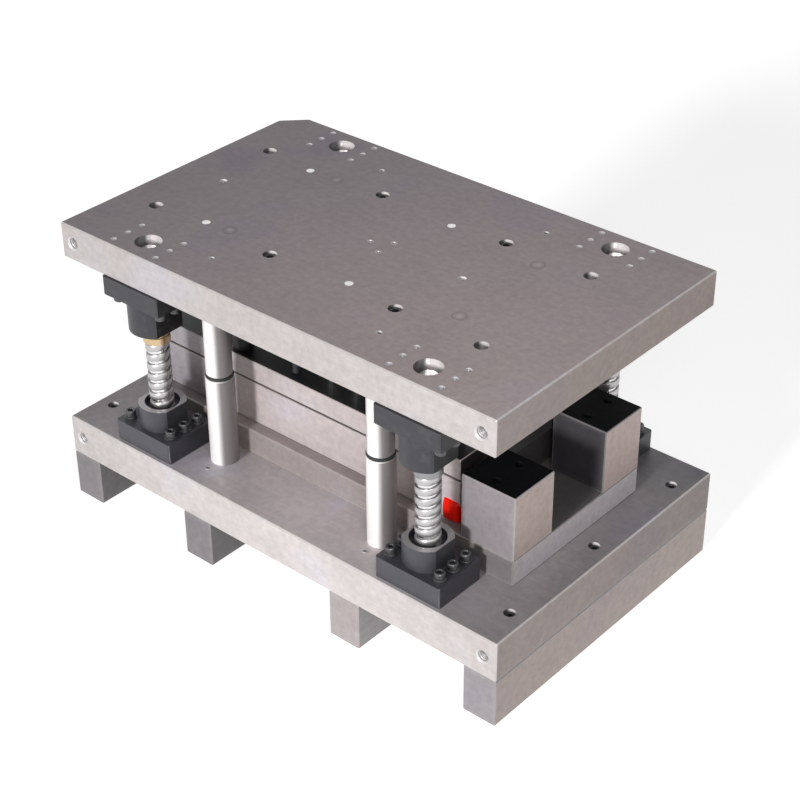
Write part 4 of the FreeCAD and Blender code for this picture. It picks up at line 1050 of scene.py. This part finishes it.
class DIESET_OT_screws(bpy.types.Operator):
    """Make the cap screws with their sockets and washers, the set screws and the tapped holes' threads"""

    bl_idname = "dieset.screws"
    bl_label = "Screws and threads"

    def execute(self, context):
        sizes, finish = context.scene.die_set_sizes, context.scene.die_set_finish
        grey = blackened("screw_grey", finish.screw_grey, scale=1800.0, rough=0.30, metal=0.6)
        dimmer = blackened("sunk_screw_black", finish.screw_black, scale=1800.0, rough=0.5)
        bright = bright_steel("thread_steel", finish.thread, 0.38, 0.15, 0.5)
        self.flange_screws("post_base_cap_screws", "post_base_screws", "lower_die", 1, sizes, grey)
        self.flange_screws("bushing_cap_screws", "bushing_screws", "upper_die", -1, sizes, grey)
        self.shoe_screws(dimmer, bright)
        die = [(x, row * 0.088) for x in (-0.2565, -0.168, 0.0, 0.168) for row in SIDES]
        self.sunk_screws("die_cap_screws", "die_screws", "lower_die", die, M10, dimmer)
        heels = [(middle(name).x, middle(name).y + row * 0.020) for name in HEEL_BLOCKS for row in SIDES]
        self.sunk_screws("heel_block_cap_screws", "heel_block_screws", "lower_die", heels, M6, dimmer)
        punch = [(x, row * 0.097) for x in (-0.082, 0.106) for row in SIDES]
        self.sunk_screws("punch_plate_cap_screws", "punch_plate_screws", "upper_die", punch, M10, dimmer)
        self.stop_screws(dimmer)
        self.tapped_mouths(bright)
        self.lifting_threads(sizes, bright)
        dress("stripper_bolts", dimmer)
        return {"FINISHED"}

    def flange_screws(self, label, node, body, up, sizes, material):
        """Screws with washers, upright in the post bases and hanging in the bushing housings."""
        low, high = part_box(node)
        head = 8 * MM
        seat, tip = (high.z - head, low.z) if up > 0 else (low.z + head, high.z)
        mesh = bmesh.new()
        for x, y in flange_places():
            cap_screw(
                mesh, (x, y, seat), sizes.flange_screw, sizes.flange_head, head, abs(seat - tip),
                up=up, washer=sizes.washer, collar=3 * MM, count=48, ribs=True,
            )
        piece(label, mesh, material, body, [node])

    def sunk_screws(self, label, node, body, places, thread_and_head, material, seat=None):
        """Cap screws whose heads, as high as their thread is thick, end at the top of the node's box."""
        dia, head = thread_and_head
        low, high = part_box(node)
        seat = seat or high.z - dia
        mesh = bmesh.new()
        for x, y in places:
            cap_screw(mesh, (x, y, seat), dia, head, dia, seat - low.z)
        piece(label, mesh, material, body, [node])

    def shoe_screws(self, material, bright):
        """Sunk screws of the parallels, and a bright set screw beside each stop post."""
        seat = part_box("lower_shoe")[1].z - 11 * MM
        end, mid = middle("parallel_far_right").x, middle("parallel_mid_right").x
        places = [(side * end, row * 0.155) for side in SIDES for row in ROWS]
        places += [(side * mid, row * 0.095) for side in SIDES for row in SIDES]
        node = "lower_shoe_screws"
        self.sunk_screws("lower_shoe_cap_screws", node, "lower_die", places, M8, material, seat)
        marks = bmesh.new()
        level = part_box(node)[1].z
        for name in four("lower_stop"):
            centre = middle(name)
            spot = (centre.x, centre.y + math.copysign(0.029, centre.y), level)
            set_screw(marks, spot, 8 * MM, 15 * MM)
        piece("lower_shoe_set_screws", marks, bright, "lower_die")

    def stop_screws(self, material):
        low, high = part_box("stop_post_screws")
        mesh = bmesh.new()
        for name in four("upper_stop"):
            centre = middle(name)
            set_screw(mesh, (centre.x, centre.y, high.z), 6 * MM, high.z - low.z)
        piece("stop_post_set_screws", mesh, material, "upper_die", ["stop_post_screws"])

    def tapped_mouths(self, material):
        """Bright countersinks and the first threads of the tapped holes in the top face."""
        mesh = bmesh.new()
        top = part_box("upper_shoe")[1].z
        places = [(x, y, 4 * MM) for x, y in flange_places()]
        places += [(x, y, 2.5 * MM) for x, y, level in SHANK_HOLES]
        for x, y, radius in places:
            wall, core, crest = radius - 0.02 * MM, radius * 0.80, radius * 0.13
            rows = [(wall, -0.1 * MM), (core, -0.9 * MM)]
            for turn in range(5):
                level = -1.1 * MM - turn * 1.2 * MM
                rows += [(core, level), (core + crest, level - 0.6 * MM)]
            rows += [(core, -7.2 * MM), (wall, -7.4 * MM)]
            revolve(mesh, (x, y, top), rows, 24, closed=True)
        piece("tapped_hole_mouths", mesh, material, "upper_die")

    def lifting_threads(self, sizes, material):
        radius, depth, cone = 7.02 * MM, 0.9 * MM, 3.5 * MM
        for shoe, body in (("upper_shoe", "upper_die"), ("lower_shoe", "lower_die")):
            mesh = bmesh.new()
            low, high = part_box(shoe)
            for row, inset in ((-1, 0.019), (1, 0.047)):
                for side in SIDES:
                    mouth = Vector((side * (high.x - inset), row * (high.y - cone), (low.z + high.z) / 2))
                    thread(mesh, mouth, Vector((0, -row, 0)), radius, depth, sizes.thread_pitch)
            piece(f"lifting_threads_{body}", mesh, material, body, sharp=20)


class DIESET_OT_soft_parts(bpy.types.Operator):
    """Make the red buffer pad, the rubber rings of the stop posts and the stripper's rubber springs"""

    bl_idname = "dieset.soft_parts"
    bl_label = "Rubber and urethane"

    def execute(self, context):
        sizes, finish = context.scene.die_set_sizes, context.scene.die_set_finish
        red = elastic("red_urethane", finish.urethane, 0.45, gloss=0.2)
        black = elastic("black_rubber", finish.rubber, 0.55)
        self.buffer_pad(sizes, red)
        self.stop_rings(black)
        self.stripper_springs(black)
        return {"FINISHED"}

    def buffer_pad(self, sizes, material):
        """A block with rounded edges that is squeezed out a little to the front and at its top and left."""
        bulge_depth, left_spread, top_spread = 6.5 * MM, 0.15, 0.24
        mesh = bmesh.new()
        low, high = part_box("buffer_pad")
        centre, size = (low + high) / 2, high - low
        bmesh.ops.create_cube(mesh, size=1.0)
        bmesh.ops.subdivide_edges(mesh, edges=mesh.edges, cuts=9, use_grid_fill=True)
        inset = sizes.pad_round
        for vert in mesh.verts:
            unit = vert.co.copy()
            spot = Vector([unit[i] * size[i] for i in range(3)])
            core = Vector([max(-size[i] / 2 + inset, min(size[i] / 2 - inset, spot[i])) for i in range(3)])
            away = spot - core
            if away.length > inset:
                spot = core + away.normalized() * inset
            bulge = math.cos(math.pi * unit.z) * math.cos(math.pi * unit.x)
            forward = bulge_depth * max(0.0, bulge) ** 0.3 if unit.y < 0 else 0.0
            left, rise = left_spread * (spot.x - size.x / 2), top_spread * (spot.z + size.z / 2)
            vert.co = centre + spot + Vector((left, -forward, rise))
        piece("buffer_pad_urethane", mesh, material, "lower_die", ["buffer_pad"], sharp=60)

    def stop_rings(self, material):
        mesh = bmesh.new()
        low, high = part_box("stop_rings")
        tall, outer, bore = high.z - low.z, 17 * MM, 13.05 * MM
        rows = [(bore, 0), (outer - 0.9 * MM, 0), (outer - 0.25 * MM, 0.35 * MM), (outer, 1.1 * MM)]
        rows += [(reach, tall - level) for reach, level in reversed(rows)]
        for name in four("lower_stop"):
            centre = middle(name)
            revolve(mesh, (centre.x, centre.y, low.z), rows, 48, closed=True)
        piece("stop_post_rings", mesh, material, "lower_die", ["stop_rings"], sharp=60)

    def stripper_springs(self, material):
        """Four rubber tubes that swell a little in the middle."""
        mesh = bmesh.new()
        low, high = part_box("stripper_springs")
        tall, outer, bore, soft, swell, steps = high.z - low.z, 13 * MM, 4.5 * MM, 1.2 * MM, 0.4 * MM, 10
        rows = [(bore, 0), (outer - soft - swell, 0)]
        for i in range(steps + 1):
            level = soft + (tall - 2 * soft) * i / steps
            rows.append((outer - swell * (1 - math.sin(math.pi * i / steps)), level))
        rows += [(outer - soft - swell, tall), (bore, tall)]
        for side in SIDES:
            for row in SIDES:
                revolve(mesh, (side * 0.148, row * 0.084, low.z), rows, 40, closed=True)
        label, node = "stripper_rubber_springs", "stripper_springs"
        springs = piece(label, mesh, material, replaces=[node], sharp=60)
        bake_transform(springs)


class DIESET_PT_panel(bpy.types.Panel):
    """The die set's makers and their settings"""

    bl_idname = "DIESET_PT_panel"
    bl_label = "Press die set"
    bl_space_type = "VIEW_3D"
    bl_region_type = "UI"
    bl_category = "Die Set"

    def draw(self, context):
        for operator in OPERATORS:
            self.layout.operator(operator.bl_idname, text=operator.bl_label)
        for group in (context.scene.die_set_sizes, context.scene.die_set_finish, context.scene.die_set_stage):
            column = self.layout.column(align=True)
            for name in group.__annotations__:
                column.prop(group, name)


GROUPS = {"die_set_sizes": DieSetSizes, "die_set_finish": DieSetFinish, "die_set_stage": DieSetStage}
OPERATORS = (
    DIESET_OT_stage,
    DIESET_OT_shoes,
    DIESET_OT_die_steels,
    DIESET_OT_guide_units,
    DIESET_OT_post_springs,
    DIESET_OT_ball_cages,
    DIESET_OT_screws,
    DIESET_OT_soft_parts,
)


def register():
    for name, group in GROUPS.items():
        bpy.utils.register_class(group)
        setattr(bpy.types.Scene, name, bpy.props.PointerProperty(type=group))
    for operator in OPERATORS:
        bpy.utils.register_class(operator)
    bpy.utils.register_class(DIESET_PT_panel)


def unregister():
    bpy.utils.unregister_class(DIESET_PT_panel)
    for operator in reversed(OPERATORS):
        bpy.utils.unregister_class(operator)
    for name, group in GROUPS.items():
        delattr(bpy.types.Scene, name)
        bpy.utils.unregister_class(group)


def main():
    register()
    for operator in OPERATORS:
        family, verb = operator.bl_idname.split(".")
        getattr(getattr(bpy.ops, family), verb)()


if __name__ == "__main__":
    main()
